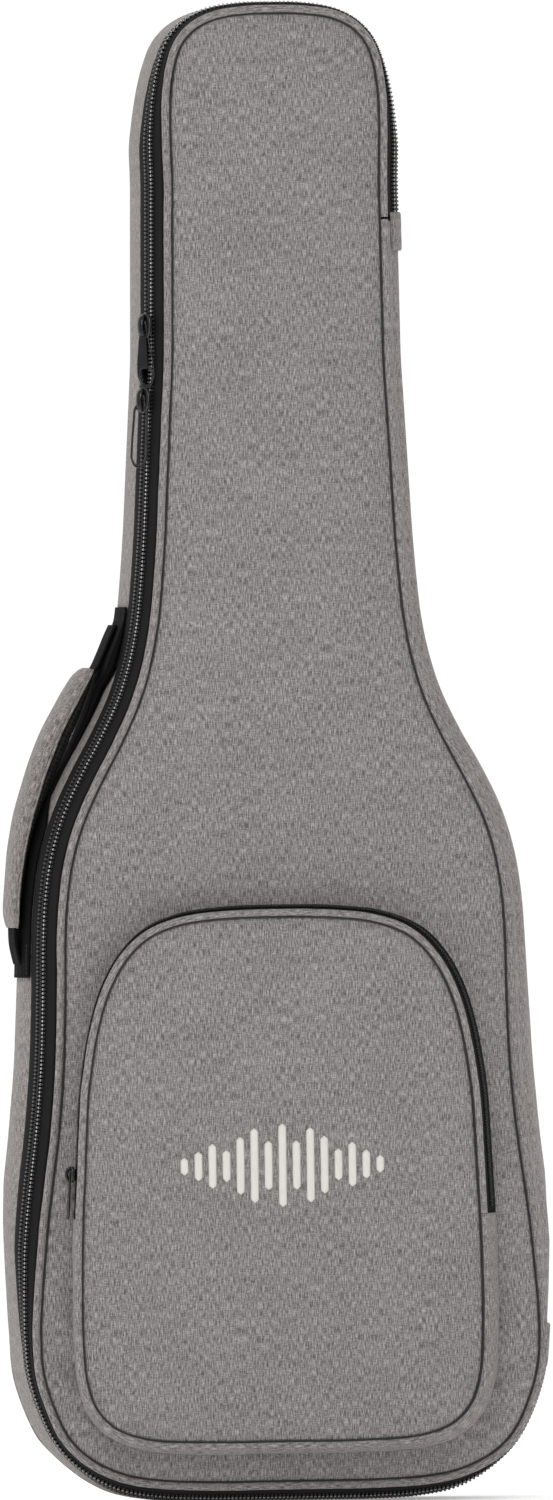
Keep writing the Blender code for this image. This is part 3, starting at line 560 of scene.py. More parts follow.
def studio():
    scene = bpy.context.scene
    aim = Vector((AIM_SIDE * math.cos(AZIMUTH), AIM_SIDE * math.sin(AZIMUTH), AIM_Z))
    cam = bpy.data.cameras.new("camera")
    cam.sensor_fit = "VERTICAL"
    cam.sensor_height = 24.0
    cam.lens = cam.sensor_height * AWAY / VIEW_HEIGHT
    obj = put("camera", cam)
    obj.location = aim + Vector((math.sin(AZIMUTH), -math.cos(AZIMUTH), 0.0)) * AWAY
    turn = (aim - obj.location).to_track_quat("-Z", "Y").to_matrix().to_4x4()
    obj.rotation_euler = (turn @ Matrix.Rotation(ROLL, 4, "Z")).to_euler()
    scene.camera = obj
    scene.view_settings.view_transform = "Standard"
    world = bpy.data.worlds.new("studio")
    world.use_nodes = True
    sky = world.node_tree
    where, split, level = (
        sky.nodes.new("ShaderNode" + kind) for kind in ("TexCoord", "SeparateXYZ", "MapRange")
    )
    for key, value in (("From Min", -0.2), ("From Max", 0.6), ("To Min", 0.6), ("To Max", 1.03)):
        level.inputs[key].default_value = value
    sky.links.new(where.outputs["Generated"], split.inputs[0])
    sky.links.new(split.outputs["Y"], level.inputs["Value"])
    sky.links.new(level.outputs[0], sky.nodes["Background"].inputs["Strength"])
    sky.nodes["Background"].inputs["Color"].default_value = (1.0, 1.0, 1.0, 1)
    scene.world = world
    mesh = bpy.data.meshes.new("floor")
    turns = [k * math.pi / 48 for k in range(96)]
    rim = [(FLOOR_RADIUS * math.cos(a), FLOOR_RADIUS * math.sin(a), 0) for a in turns]
    mesh.from_pydata(rim, [], [tuple(range(96))])
    floor = put("floor", mesh)
    floor.location.z = -0.0005
    n = Nodes("floor")
    for key, value in (
        ("Base Color", (0.97, 0.97, 0.97, 1)), ("Roughness", 0.95),
        ("Emission Color", (1, 1, 1, 1)), ("Emission Strength", 0.25),
    ):
        n.shader.inputs[key].default_value = value
    mesh.materials.append(n.mat)
    for name, spot, size, power in LAMPS:
        light = bpy.data.lights.new(name, "AREA")
        light.energy = power
        light.size = size
        lamp = put(name, light)
        lamp.location = spot
        lamp.rotation_euler = (Vector((0, 0, 0.5)) - Vector(spot)).to_track_quat("-Z", "Y").to_euler()


# ---------------------------------------------------------------- lid and walls


def crown(way, x, z):
    """The front panel swells fast off its seam, then slowly to its middle."""
    return -(3.6 * (1 - np.exp(-way / 6.0)) + 4.6 * (1 - np.exp(-way / 42.0)))

def creases(x, z):
    """Soft pulls of the cloth near the bottom corners and along the seams."""
    corner = np.exp(-((abs(x) - 150) / 30.0) ** 2 - ((z - 92) / 62.0) ** 2)
    angle = np.arctan2(z - 60, abs(x) - 90)
    pull = np.sin(angle * 15 + 2.0 * wander(x, z, 60.0, 3)) * 2.8 * corner
    return wander(x, z, 130.0, 1) * 0.9 + wander(x, z, 38.0, 2) * 0.35 + pull


def lid():
    def front(way, x, z):
        start = np.where(way < 0.4, 1.4, 0.0)
        return start + crown(way, x, z) + creases(x, z) * np.clip(way / 14.0, 0, 1) - 0.3

    def rear(way, x, z):
        return 2.0 - np.clip(way / 30.0, 0, 1) * 3.5

    def pad_front(way, x, z):
        return 4.0 - np.clip(way / 25.0, 0, 1) * 3.0

    def pad_rear(way, x, z):
        soft = np.clip(1 - np.exp(-(way - 2.6) / 4.5), 0, 1)
        return 4.0 + 13.2 * soft + wander(x, z, 90.0, 4) * 0.5 * np.clip(way / 30, 0, 1)

    insets = [0, 0.5, 1.2, 2.2, 3.6, 5.5, 8, 11, 15, 20, 26, 33, 41, 50, 60, 70]
    shrink = Loop([(x * (1 - 0.4 / max(abs(x), 60)), z) for x, z in OUTLINE])
    cloth = pillow("front_panel", shrink, insets, (front, rear), CLOTH, "lid")
    dress(cloth, "cloth", "front_panel_cloth", loft=0.8)
    insets = [2.6, 3.4, 4.6, 6.4, 9, 13, 19, 28, 40, 55]
    pad = pillow("front_panel_lining_pad", MAIN, insets, (pad_front, pad_rear), LINING, "lid", step=7.0)
    dress(pad, "lining", "front_panel_foam", "front_panel_lining", loft=0.8)


def longer(s, extra=1.3):
    """Arc lengths with a little more run at both ends."""
    step = math.copysign(extra, s[1] - s[0])
    return np.concatenate([[s[0] - step], s, [s[-1] + step]])


def piping(name, body, node, s, depth=0.0, closed=False, mat=CLOTH):
    """A cord covered in cloth, with a little wander."""
    x, z = MAIN.at(s).T
    radius = PIPING[1] + wander(x, z, 9.0, 6) * 0.12
    a = np.arange(14)[:, None] * 2 * math.pi / 14
    n = PIPING[0] + wander(x, z, 21.0, 5) * 0.28 + radius * np.cos(a)
    rings = along(MAIN, s, lambda z: (n, depth + radius * np.sin(a)))
    swept(name, rings, mat, s, body, "piping", node, closed=closed)


def groove_shadow_line(name, loop, n, v, body, place=None):
    """A dark cord painted as the shadow in the groove where a panel meets its piping."""
    s = np.linspace(0, loop.length, int(loop.length / 3.5))[:-1]
    a = np.arange(8)[:, None] * math.pi / 4
    rings = along(loop, s, lambda z: (n + GROOVE_SHADOW_RADIUS * np.cos(a) + 0 * z, v + GROOVE_SHADOW_RADIUS * np.sin(a) + 0 * z), place)
    return swept(name, rings, DARK_THREAD_AND_GROOVE_SHADOW, s, body, "piping", closed=True)


# A stitch from end to end: place along it in lengths, and radius in half widths.
STITCH = ((-0.5, 0.25), (-0.3, 0.9), (0.3, 0.9), (0.5, 0.25))


def sew(name, body, spots, size, mat, slot="cloth"):
    """Short rounded stitches from (centre, way, and two directions square to it), of (length, width)."""
    length, width = size
    rings = []
    for c, t, up, aside in spots:
        turns = [up * math.cos(k * math.pi / 3) + aside * math.sin(k * math.pi / 3) for k in range(6)]
        rings.append([[c + t * share * length + v * r * width / 2 for v in turns] for share, r in STITCH])
    dress(beads(name, np.array(rings), mat, body), slot)


def stitches(name, s0, s1, out, depth, size, mat, slot="cloth", pitch=3.0):
    """Stitches along the side wall, out millimetres off it."""
    mid = s0 + (np.arange(int((s1 - s0) / pitch)) + 0.5) * pitch
    p, nrm = MAIN.frames(mid)
    spot = p + (wall_n(p[:, 1], depth) + out)[:, None] * nrm
    lift = np.array([0, 1.0, 0])
    spots = zip(stand(spot, FRONT_Y + depth), crosswise(nrm), stand(nrm, 0), [lift] * len(mid))
    sew(name, "shell", spots, size, mat, slot)


def floored(rings, outer, inner):
    """Keeps the outer and the inner half of each section above the ground, at these heights."""
    half = rings.shape[1] // 2
    rings[:, :, 2] = np.maximum(rings[:, :, 2], np.array([outer] * half + [inner] * half))
    return rings


def side_wall():
    ring = MAIN.round(4.0)
    x, z = MAIN.at(ring).T
    puck = wander(x, z, 16.0, 7)
    slow = wander(x, z, 90.0, 8)

    def dent(depth):
        near = math.exp(-((depth - 29) / 7.0) ** 2) + math.exp(-((depth - 102) / 9.0) ** 2)
        return -0.55 * near + 0.4 * puck * near + 0.5 * slow * (1 - near) - 0.3

    def pad(z):
        top = np.array([wall_n(z, d) - 2.6 - (3.0 if i == 0 else 0) for i, d in enumerate(inner)])
        low = np.maximum(np.array([wall_n(z, d) - 12.6 for d in inner]), -3.6)
        low[0] += 2.5
        return np.vstack([top, low[::-1]]), np.array(inner + inner[::-1], float)[:, None] + 0 * z

    depths = [29.3, 30.2, 32, 36, 44, 52.5, 61, 70, 79, 88, 95, 99.5, 101.8]
    inner = [30.6, 33, 40, 52.5, 66, 78, 82]
    rings = floored(along(MAIN, ring, skin_section(depths, 0.0, 1.5, dent)), 0.0, 1.5)
    swept("side_wall", rings, CLOTH_SIDE, ring, "shell", "cloth", "side_wall_cloth", closed=True, loft=0.7)
    rings = floored(along(MAIN, ring, pad), 2.4, 6.6)
    nodes = "side_wall_foam", "side_wall_lining"
    swept("side_wall_pad", rings, LINING, ring, "shell", "lining", *nodes, closed=True, loft=0.8)


def hinge_side():
    s = MAIN.span(1, HINGE_BOTTOM_Z, 1, HINGE_TOP_Z, 4.0)
    puck = wander(*MAIN.at(s).T, 14.0, 9)

    def dent(depth):
        seam = math.exp(-((depth - 12.4) / 1.3) ** 2)
        near = math.exp(-((depth - 3) / 4.0) ** 2)
        return -0.9 * seam + 0.35 * puck * (near + 0.5 * seam) - 0.3

    def bridge(z):
        path = np.array(web_path + [(n - 0.7, d) for n, d in reversed(web_path)])
        return path[:, :1] + 0 * z, path[:, 1:] + 0 * z

    section = skin_section([3.0, 4.4, 6.6, 9.5, 11.4, 12.4, 13.6, 17, 22, 26, 28.9], 0.0, 1.5, dent)
    rings = along(MAIN, s, section)
    swept("hinge_side", rings, CLOTH_SIDE, s, "shell", "cloth", "hinge_side_cloth", loft=0.6)
    piping("hinge_piping", "shell", "hinge_side_piping", longer(s))

    # The lining web that bridges wall and lid behind the hinge.
    web_path = [(3.0, 19.0), (1.2, 14.0), (-0.4, 9.0), (-1.3, 5.0), (-1.6, 2.6)]
    web = swept("hinge_web", along(MAIN, s[4:-4], bridge), LINING, s[4:-4], None, "lining")
    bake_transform(web)


# ---------------------------------------------------------------- main zipper

GAP_LOW, GAP_HIGH = 778.0, 818.0
GAP_REACH = {-1: 0.8, 1: 7.0}


def spread(z, x, reach):
    """How far a row of teeth stands off the parting line, wide only between the two sliders."""
    t = np.clip((z - GAP_LOW) / (GAP_HIGH - GAP_LOW), 0, 1)
    return np.where(x < 0, reach * np.sin(math.pi * t) ** 0.8, 0.0)


def track_axes(s):
    """Centre, along, across and out vectors of the main track at arc lengths s."""
    p, nrm = MAIN.frames(s)
    z = p[:, 1]
    slope = wall_n(z, TRACK_D + 0.5) - wall_n(z, TRACK_D - 0.5)
    out = stand(nrm, 0)
    base = stand(p, FRONT_Y + TRACK_D) + out * wall_n(z, TRACK_D)[:, None]
    across = unit(np.array([0.0, 1, 0]) + out * slope[:, None])
    run = crosswise(nrm)
    q = np.cross(run, across)
    return base, run, across, q * np.sign((q * out).sum(1))[:, None]


def tooth_rings(stations, run, up):
    """Rings[tooth, station, 6, 3] of moulded teeth from (centres, half run, half height) stations."""
    turns = [k * math.pi / 3 + math.pi / 6 for k in range(6)]
    rings = [[c + run * t * math.cos(a) + up * h * math.sin(a) for a in turns] for c, t, h in stations]
    return np.array(rings).transpose(2, 0, 1, 3)


def pitched(s0, s1, pitch, side):
    """Arc lengths of a row of teeth, half a pitch off the row it meets."""
    return s0 + (np.arange(int((s1 - s0) / pitch)) + (0.75 if side > 0 else 0.25)) * pitch


# Across the tape: place, half thickness along it, height over the tape, half height.
COIL = (
    (4.9, 0.5, 0.2, 0.35), (4.3, 0.9, 0.7, 0.7), (3.2, 0.95, 1.2, 0.85), (2.3, 0.9, 1.3, 0.85),
    (1.2, 0.75, 1.1, 0.75), (0.2, 0.85, 0.95, 0.8), (-0.45, 0.95, 0.9, 0.85), (-0.9, 0.5, 0.8, 0.5),
)
CREST = 12, 13  # the faces of a tooth that carry a painted highlight


def coil(name, body, node, side, s0, s1):
    """A row of moulded coil teeth: each a bar with a bulbous head, set square across the tape."""
    base, run, across, q = track_axes(pitched(s0, s1, PITCH, side))
    push = spread(base[:, 2], base[:, 0], GAP_REACH[side])[:, None]
    stations = []
    for w, t, lift, h in COIL:
        stations.append((base + across * side * (w + push) + q * (lift + 0.12 * push), t, h))
    rings = tooth_rings(stations, run, q)
    low = base[:, 2] < LOW_Z
    rings[low, ..., 2] = np.maximum(rings[low, ..., 2], 0.35)
    made = beads(name, rings, TEETH, body)
    # The crest faces of each tooth get the painted highlight material.
    made.data.materials.append(CREST_HIGHLIGHT_PAINT[side])
    faces = made.data.polygons
    for start in range(0, len(faces), len(faces) // len(base)):
        for k in CREST:
            faces[start + k].material_index = 1
    dress(made, "zipper_teeth", node)


def main_zipper():
    s = MAIN.span(1, ZIP_TOP_Z, 1, ZIP_BOTTOM_Z, 3.5)
    x = MAIN.at(s)[:, 0]
    for word, body, node, depths, side in (
        ("front", "lid", "lid", [2.6, 5, 8, 10.5, 12.5, 14.9], -1),
        ("rear", "shell", "body", [16.1, 18.5, 20.5, 23, 26, 29.0], 1),
    ):

        def section(z):
            push = spread(z, x, GAP_REACH[side])
            n, d = skin_section(depths, 0.0, 1.0)(z)
            for j, depth in enumerate([*depths, *depths[::-1]]):
                free = np.clip(1 - abs(depth - TRACK_D) / 9.0, 0, 1)
                d[j] += 0.78 * side * push * free
                n[j] += 0.62 * side * push * free
            return n, d

        rings = floored(along(MAIN, s, section), 1.2, 2.2)
        swept(f"zipper_tape_{word}", rings, TAPE, s, body, "zipper_tape", f"zipper_tape_{node}")
    coil("teeth_front", "lid", "zipper_teeth_lid", -1, s[0] + 2, s[-1] - 2)
    coil("teeth_rear", "shell", "zipper_teeth_body", 1, s[0] + 2, s[-1] - 2)
    piping("front_piping", "lid", "lid_piping", longer(s))
    # A dark cord painted as the shadow in the groove between the front panel and its piping.
    groove_shadow_line("front_seam_shadow", MAIN, -0.2, -1.3, "lid")
    piping("rear_piping", "shell", "back_piping", MAIN.round(4.0), DEPTH, True, CLOTH_SIDE)
    for name, low, high, gain in (
        ("zipper_end_tab_top", 876.0, 903.0, 1.0), ("zipper_end_tab_bottom", 91.0, 122.0, 0.75),
    ):
        run = MAIN.span(1, low, 1, high, 1.5)
        lifts = [0.5, 1.3, 2.9, 3.1, 2.9, 1.2, 0.5]

        def tab(z):
            n, d = skin_section([8.6, 10.2, 12.2, 15.5, 19, 22, 26], 0.0, 0.9)(z)
            return n + np.array(lifts + lifts[::-1])[:, None] * gain, d

        rings = along(MAIN, run, tab)
        for k in (0, -1):
            rings[k, :, 0] -= 0.8 * np.sign(rings[k, :, 0])
        swept(name + "_cloth", rings, CLOTH_SIDE, run, "shell", "cloth", name)
        for depth in (9.4, 24.6):
            stitches(f"{name}_stitches_{int(depth)}", run[0] + 1, run[-1] - 1, 1.0, depth, (2.3, 0.55), SEAM)


# ---------------------------------------------------------------- sliders and pulls


def flat_piece(name, outline, holes, thick, axes, base, mat, body, bevel=0.35, slot="slider_metal"):
    """A plate cut from smooth outlines in (along, across), laid in a local frame, edges rounded."""
    curve = bpy.data.curves.new(name, "CURVE")
    curve.dimensions = "2D"
    curve.fill_mode = "BOTH"
    curve.extrude = (thick / 2 - bevel) * MM
    curve.bevel_depth = bevel * MM
    curve.bevel_resolution = 2
    curve.offset = -bevel * MM
    for ring in [outline, *holes]:
        spline = curve.splines.new("POLY")
        spline.points.add(len(ring) - 1)
        for point, (a, b) in zip(spline.points, ring):
            point.co = (a * MM, b * MM, 0, 1)
        spline.use_cyclic_u = True
    holder = put(name, curve)
    graph = bpy.context.evaluated_depsgraph_get()
    mesh = bpy.data.meshes.new_from_object(holder.evaluated_get(graph))
    bpy.data.objects.remove(holder)
    bpy.data.curves.remove(curve)
    run, across, out = (np.array(v, float) for v in axes)
    pts = np.array([v.co for v in mesh.vertices])
    world = np.array(base, float) * MM + pts @ np.stack([run, across, out])
    mesh.vertices.foreach_set("co", world.astype(np.float32).ravel())
    if np.dot(np.cross(run, across), out) < 0:
        mesh.flip_normals()
    layer = mesh.uv_layers.get("weave") or mesh.uv_layers.new(name="weave")
    pick = [l.vertex_index for l in mesh.loops]
    layer.data.foreach_set("uv", pts[pick][:, :2].astype(np.float32).ravel())
    mesh.materials.clear()
    mesh.materials.append(mat)
    # Bevel faces turned partly outwards get the painted rim highlight.
    if mat is METAL:
        mesh.materials.append(RIM_PAINTED_HIGHLIGHT)
        for face in mesh.polygons:
            face.material_index = int(0.4 < float(np.dot(face.normal, out)) < 0.9)
    mesh.shade_smooth()
    obj = put(name, mesh)
    weld(obj, 0.005)
    obj.modifiers.new("edges", "EDGE_SPLIT").split_angle = math.radians(50)
    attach(obj, body)
    return obj


def rounded(points, radius, steps=5):
    """A polygon with its corners rounded off."""
    pts = [np.array(p, float) for p in points]
    out = []
    for a, b, c in zip(pts[-1:] + pts, pts, pts[1:] + pts[:1]):
        reach = [np.linalg.norm(v - b) for v in (a, c)]
        cut = min(radius, 0.45 * reach[0], 0.45 * reach[1])
        u, v = (a - b) / reach[0], (c - b) / reach[1]
        for t in (k / steps for k in range(steps + 1)):
            out.append(tuple((1 - t) ** 2 * (b + u * cut) + 2 * t * (1 - t) * b + t * t * (b + v * cut)))
    return out


def wire(name, path, radius, mat, body, slot, flat=1.0, steps=10, wide=(0, 1, 0)):
    """A round bar along a 3-D path in millimetres, flat times as wide along one direction."""
    pts = np.array(path, float)
    ahead = unit(np.gradient(pts, axis=0))
    ref = np.array(wide, float)
    rings = []
    for p, t in zip(pts, ahead):
        a = unit(ref - t * (ref @ t))
        b = np.cross(t, a)
        turns = [2 * math.pi * k / steps for k in range(steps)]
        rings.append([p + radius * (a * math.cos(k) * flat + b * math.sin(k)) for k in turns])
    swept(name, rings, mat, run_of(pts), body, slot)


def slider_set(key, base, axes, size, low, high, bodies, shape):
    """A slider's plates, post, rails and bridge on one body, and the pull that swings on it on another."""
    run, across, q = axes
    body, pull_body = bodies

    def at(t, w, h):
        return base + run * t + across * w + q * h

    half_l, half_w = size
    top = high + 1.5
    half = [(-1, 0.7), (-0.3, 1), (0.5, 1), (1, 0.55)]
    plan = [(-half_l, -half_w * 0.7)] + [(a * half_l, b * half_w) for a, b in half]
    plan += [(a * half_l, -b * half_w) for a, b in half[:0:-1]]
    plan = rounded(plan, 2.6)
    for word, thick, h, bevel in (("top", 2.0, high + 0.8, 0.7), ("base", 1.4, -low - 0.7, 0.4)):
        plate = flat_piece(f"{key}_slider_{word}", plan, [], thick, axes, at(0, 0, h), METAL, body, bevel)
        if word == "top":
            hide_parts(body)
    post = half_l * 0.5
    post = rounded([(-post, -0.42), (-post, 0.42), (post, 0.42), (post, -0.42)], 0.3)
    middle = at(0, 0, (high - low) / 2)
    flat_piece(f"{key}_slider_post", post, [], high + low + 0.6, axes, middle, METAL, body, 0.1)
    for side, word in ((-1, "front"), (1, "rear")):
        spots = np.linspace(-half_l * 0.75, half_l * 0.7, 5)
        rail = [at(t, side * (half_w - 0.9), high - 0.2) for t in spots]
        wire(f"{key}_slider_rail_{word}", rail, 1.1, METAL, body, "slider_metal")
    turns = [math.pi * k / 16 for k in range(17)]
    arch = [at(-half_l * 0.8 * math.cos(t), 0, top - 0.7 + 4.0 * math.sin(t) ** 0.6) for t in turns]
    wire(f"{key}_slider_bridge", arch, 1.2, METAL, body, "slider_metal", half_w / 3.2, 12, across)
    outline, holes, thick, lean, twist = PULLS[shape]
    turn, twist = math.radians(lean), math.radians(twist)

    def tilt(half, radius):
        made = rounded(half + [(a, -b) for a, b in reversed(half)], radius)
        ct, st = math.cos(turn), math.sin(turn)
        return [(a * ct - b * st, a * st + b * ct) for a, b in made]

    ct, st = math.cos(twist), math.sin(twist)
    turned = (run, across * ct + q * st, q * ct - across * st)
    plan, ends = tilt(outline, 2.6), [tilt(hole, 1.6) for hole in holes]
    pivot = at(2.6, 0, top + 0.95)
    tab = flat_piece(f"{key}_pull_tab", plan, ends, thick, turned, pivot, METAL, pull_body, 0.6)
    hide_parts(pull_body)


# Pulls, (along, half width) downwards from the bar they swing on: outline, holes, thickness, lean and twist.
PULLS = {
    "tab": (
        [(1.1, 2.6), (-7, 2.8), (-14, 4.2), (-30, 6.3), (-38, 6.6), (-44.5, 3.8), (-46.5, 1.2)],
        [[(-0.8, 1.5), (-6.2, 1.5)], [(-32.5, 3.4), (-38, 5.0), (-42.6, 2.8), (-43.8, 1.0)]], 1.7, 4.0, 24.0,
    ),
    "ring": (
        [(1.1, 2.6), (-5, 3.0), (-9, 5.4), (-30, 6.2), (-44, 6.4), (-49, 3.8), (-50.4, 1.2)],
        [[(-0.8, 1.5), (-4.6, 1.5)], [(-9.5, 3.9), (-30, 4.8), (-43.5, 5.0), (-47.2, 2.8), (-48.4, 1.0)]],
        1.8, 0.0, 24.0,
    ),
    "small": (
        [(0.9, 2.3), (-8.5, 2.2), (-12, 2.9), (-30, 3.5), (-33.4, 2.1), (-34.2, 0.8)],
        [[(-0.7, 1.4), (-7.2, 1.4)], [(-27, 1.5), (-31, 1.5)]], 1.4, 0.0, 0.0,
    ),
}


def sliders():
    for key, shape in (("upper", "tab"), ("lower", "ring")):
        base, run, across, q = (v[0] for v in track_axes(np.array([MAIN.exactly(-1, SLIDER_Z[key], 12)])))
        if run[2] < 0:
            run = -run
        bodies = f"main_slider_{key}", f"main_pull_{key}"
        slider_set(key, base, (run, across, q), (8.6, 6.4), 2.1, 4.7, bodies, shape)
    s = POCKET.exactly(-1, SLIDER_Z["pocket"], 10)
    p, nrm = POCKET.frames(np.array([s, s + 4]))
    base, behind = (pocket_place(p, nrm, band_n(v), v)[0] for v in (POCKET_PART_V, POCKET_PART_V + 3))
    ahead = np.array([p[0, 0] - p[1, 0], 0, p[0, 1] - p[1, 1]])
    run = unit(ahead) * np.sign(ahead[2])
    across = behind - base
    across = unit(across - run * (across @ run))
    q = np.cross(run, across)
    q *= -np.sign(q[0])
    bodies = "pocket_slider", "pocket_pull"
    slider_set("pocket", base, (run, across, q), (5.6, 4.6), 2.3, 3.0, bodies, "small")


# ---------------------------------------------------------------- pocket


def pocket_place(p, nrm, n, v):
    share = np.clip((v - POCKET_V) / -POCKET_V, 0, 1)
    x = p[:, 0] + n * nrm[:, 0] + POCKET_X + (POCKET_BASE_X - POCKET_X) * share
    z = p[:, 1] + n * nrm[:, 1]
    return np.stack([x, FRONT_Y + v + 0 * x, z], 1)


def band_n(v):
    return 3.6 + 7.0 * (v - POCKET_V) / -POCKET_V


def seat(rings, k_back):
    """Drops the deepest points of a pocket strip onto the swollen front panel."""
    for j in k_back:
        x, z = rings[:, j, 0], rings[:, j, 2]
        away = np.array([np.min(np.hypot(MAIN.p[:, 0] - a, MAIN.p[:, 1] - b)) for a, b in zip(x, z)])
        rings[:, j, 1] = FRONT_Y + crown(away, x, z) - 0.2
    return rings


def pocket_front(way, x, z):
    dome = 2.6 * (1 - np.exp(-way / 5.0)) + 3.2 * (1 - np.exp(-way / 45.0))
    waves = wander(x, z, 95.0, 11) * 0.8 + wander(x, z, 30.0, 12) * 0.3
    cx = abs(x - POCKET_X)
    corner = np.exp(-((cx - 118) / 26.0) ** 2 - ((z - 78) / 42.0) ** 2)
    pull = np.sin(np.arctan2(z - 60, cx - 80) * 11 + 1.6 * wander(x, z, 40.0, 13)) * 2.2 * corner
    return POCKET_V - dome + (waves + pull) * np.clip(way / 12.0, 0, 1) + 0.5


def fold_with_flap(obj):
    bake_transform(obj)


def strip(name, body, node, s, profile, mat, slot, seated=(), wob=0.0, seed=1):
    """A strip of the pocket's side; its seated points lie on the front panel and wander less."""
    wave = wander(*POCKET.at(s).T, 18.0, seed) * wob
    share = np.array([0.2 if j in seated else 1.0 for j in range(len(profile))])[:, None]
    n, d = (np.array([row[k] for row in profile])[:, None] for k in (0, 1))
    rings = along(POCKET, s, lambda z: (n + 0 * z + wave * share, d + 0 * z), pocket_place)
    return swept(name, seat(rings, seated), mat, s, body, slot, node)


def band(v0, v1, steps, thick=0.9, bulge=0.0):
    """Profile of a strip of the pocket's side between two depths."""
    vs = np.linspace(v0, v1, steps)
    top = [(band_n(v) + bulge * math.sin(math.pi * i / (steps - 1)), v) for i, v in enumerate(vs)]
    return top + [(n - thick, v) for n, v in reversed(top)]


def pocket():
    def front(way, x, z):
        return pocket_front(way, x, z) + np.where(way < 0.3, 1.2, 0.0)

    insets = [0, 0.6, 1.4, 2.6, 4.2, 6.5, 9.5, 13.5, 18, 24, 31, 40, 52, 66]
    rear = lambda way, x, z: POCKET_V + 2.6 + 0 * x
    shrink = Loop([(x * (1 - 0.3 / max(abs(x), 50)), z) for x, z in POCKET_OUTLINE])
    sheet = pillow("pocket_front", shrink, insets, (front, rear), CLOTH, None, (115, 340), POCKET_X, 4.0)
    # Rings are cut more finely near the fold.
    cut_rows(sheet, [FLAP_Z + k for k in (-6, -3, 0, 3, 6)])
    fold_with_flap(sheet)
    dress(sheet, "cloth", "pocket_front_lower", "flap_front", loft=0.6)

    cut = [POCKET.where(side, FLAP_Z) for side in (1, -1)]
    over = np.linspace(cut[0] + 0.1, cut[1] - 0.1, 250)
    under = np.linspace(cut[1] + 0.1, cut[0] + POCKET.length - 0.1, 230)
    lower = band(POCKET_V + 2.6, -6.0, 9, 1.4, 1.6)
    upper = band(POCKET_PART_V + 4.6, -6.0, 5, 1.4)
    rear = band(POCKET_PART_V + 0.4, POCKET_PART_V + 4.8, 4)
    front = band(POCKET_V + 2.4, POCKET_PART_V - 0.4, 5)
    turns = np.arange(14) * 2 * math.pi / 14
    mid, radius = POCKET_PIPING
    cord = [(mid + radius * math.cos(a), POCKET_V + radius * math.sin(a)) for a in turns]
    tape = (TAPE, "zipper_tape")
    flap = "pocket_flap"
    for name, body, node, s, profile, kind, *rest in (
        ("side_lower", "lid", "pocket_band_lower", under, lower, (CLOTH_SIDE, "cloth"), (8, 9), 0.7, 14),
        ("side_upper", "lid", "pocket_band_upper", over, upper, tape, (4, 5), 0.2, 15),
        ("tape_rear", "lid", "pocket_zipper_base", over, rear, tape),
        ("tape_front", flap, "flap_zipper", over, front, tape),
        ("piping_under", "lid", "pocket_piping_lower", under, cord, (CLOTH, "piping"), (), 0.3, 16),
        ("piping_over", flap, "flap_piping", over, cord, (CLOTH, "piping"), (), 0.3, 17),
    ):
        made = strip("pocket_" + name, body, node, s, profile, *kind, *rest)
    # A dark cord painted as the shadow in the groove between the pocket front and its piping.
    fold_with_flap(groove_shadow_line("pocket_seam_shadow", POCKET, 0.0, POCKET_V - 1.0, None, pocket_place))
    pocket_teeth("pocket_teeth_rear", "lid", "pocket_teeth_base", 1, over[0] + 4, over[-1] - 4)
    pocket_teeth("pocket_teeth_front", flap, "flap_teeth", -1, over[0] + 4, over[-1] - 4)
    motif()


# Across the tape: place, half thickness along it, half height.
POCKET_COIL = ((2.7, 0.3, 0.3), (2.3, 0.55, 0.6), (0.4, 0.5, 0.6), (-0.3, 0.62, 0.75), (-0.6, 0.2, 0.25))
POCKET_PITCH = 2.0


def pocket_teeth(name, body, node, side, s0, s1):
    p, nrm = POCKET.frames(pitched(s0, s1, POCKET_PITCH, side))
    stations = []
    for off, t, h in POCKET_COIL:
        v = POCKET_PART_V + side * off
        stations.append((pocket_place(p, nrm, band_n(v) + 0.85, v), t, h))
    rings = tooth_rings(stations, crosswise(nrm), stand(nrm, 0))
    dress(beads(name, rings, TEETH, body), "zipper_teeth", node)


def motif():
    """A plain stitched pattern of rising and falling bars."""
    heights = [12, 20, 31, 22, 40, 52, 34, 58, 34, 52, 40, 22, 31, 20, 12]
    pitch, half_w, cols = 9.9, 2.7, 6
    verts = []
    faces = []
    for i, tall in enumerate(heights):
        cx = POCKET_X + (i - 7) * pitch
        rows = max(6, int(tall / 2.0))
        start = len(verts)
        for t in (-1 + 2 * r / rows for r in range(rows + 1)):
            z = MOTIF_Z + t * tall / 2
            past = max(0.0, (abs(t) * tall / 2 - (tall / 2 - half_w)) / half_w)
            full = math.sqrt(max(0.0, 1 - past ** 2))
            for u in (-1 + 2 * c / cols for c in range(cols + 1)):
                x = cx + u * max(0.25, half_w * full)
                way = np.array([min(141 - abs(x - POCKET_X), 409 - z)])
                y = FRONT_Y + pocket_front(way, np.array([x]), np.array([z]))[0]
                verts.append((x, y - 0.15 - 0.95 * math.sqrt(max(0, 1 - u * u)) * (0.4 + 0.6 * full), z))
        for a in (start + r * (cols + 1) + c for r in range(rows) for c in range(cols)):
            faces.append((a, a + 1, a + cols + 2, a + cols + 1))
    made = build("pocket_motif", verts, faces, IVORY)
    solid = made.modifiers.new("body", "SOLIDIFY")  # gives the open sheet a closed body
    solid.thickness = 0.5 * MM
    solid.offset = 0
    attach(made, "pocket_flap")


# ---------------------------------------------------------------- back


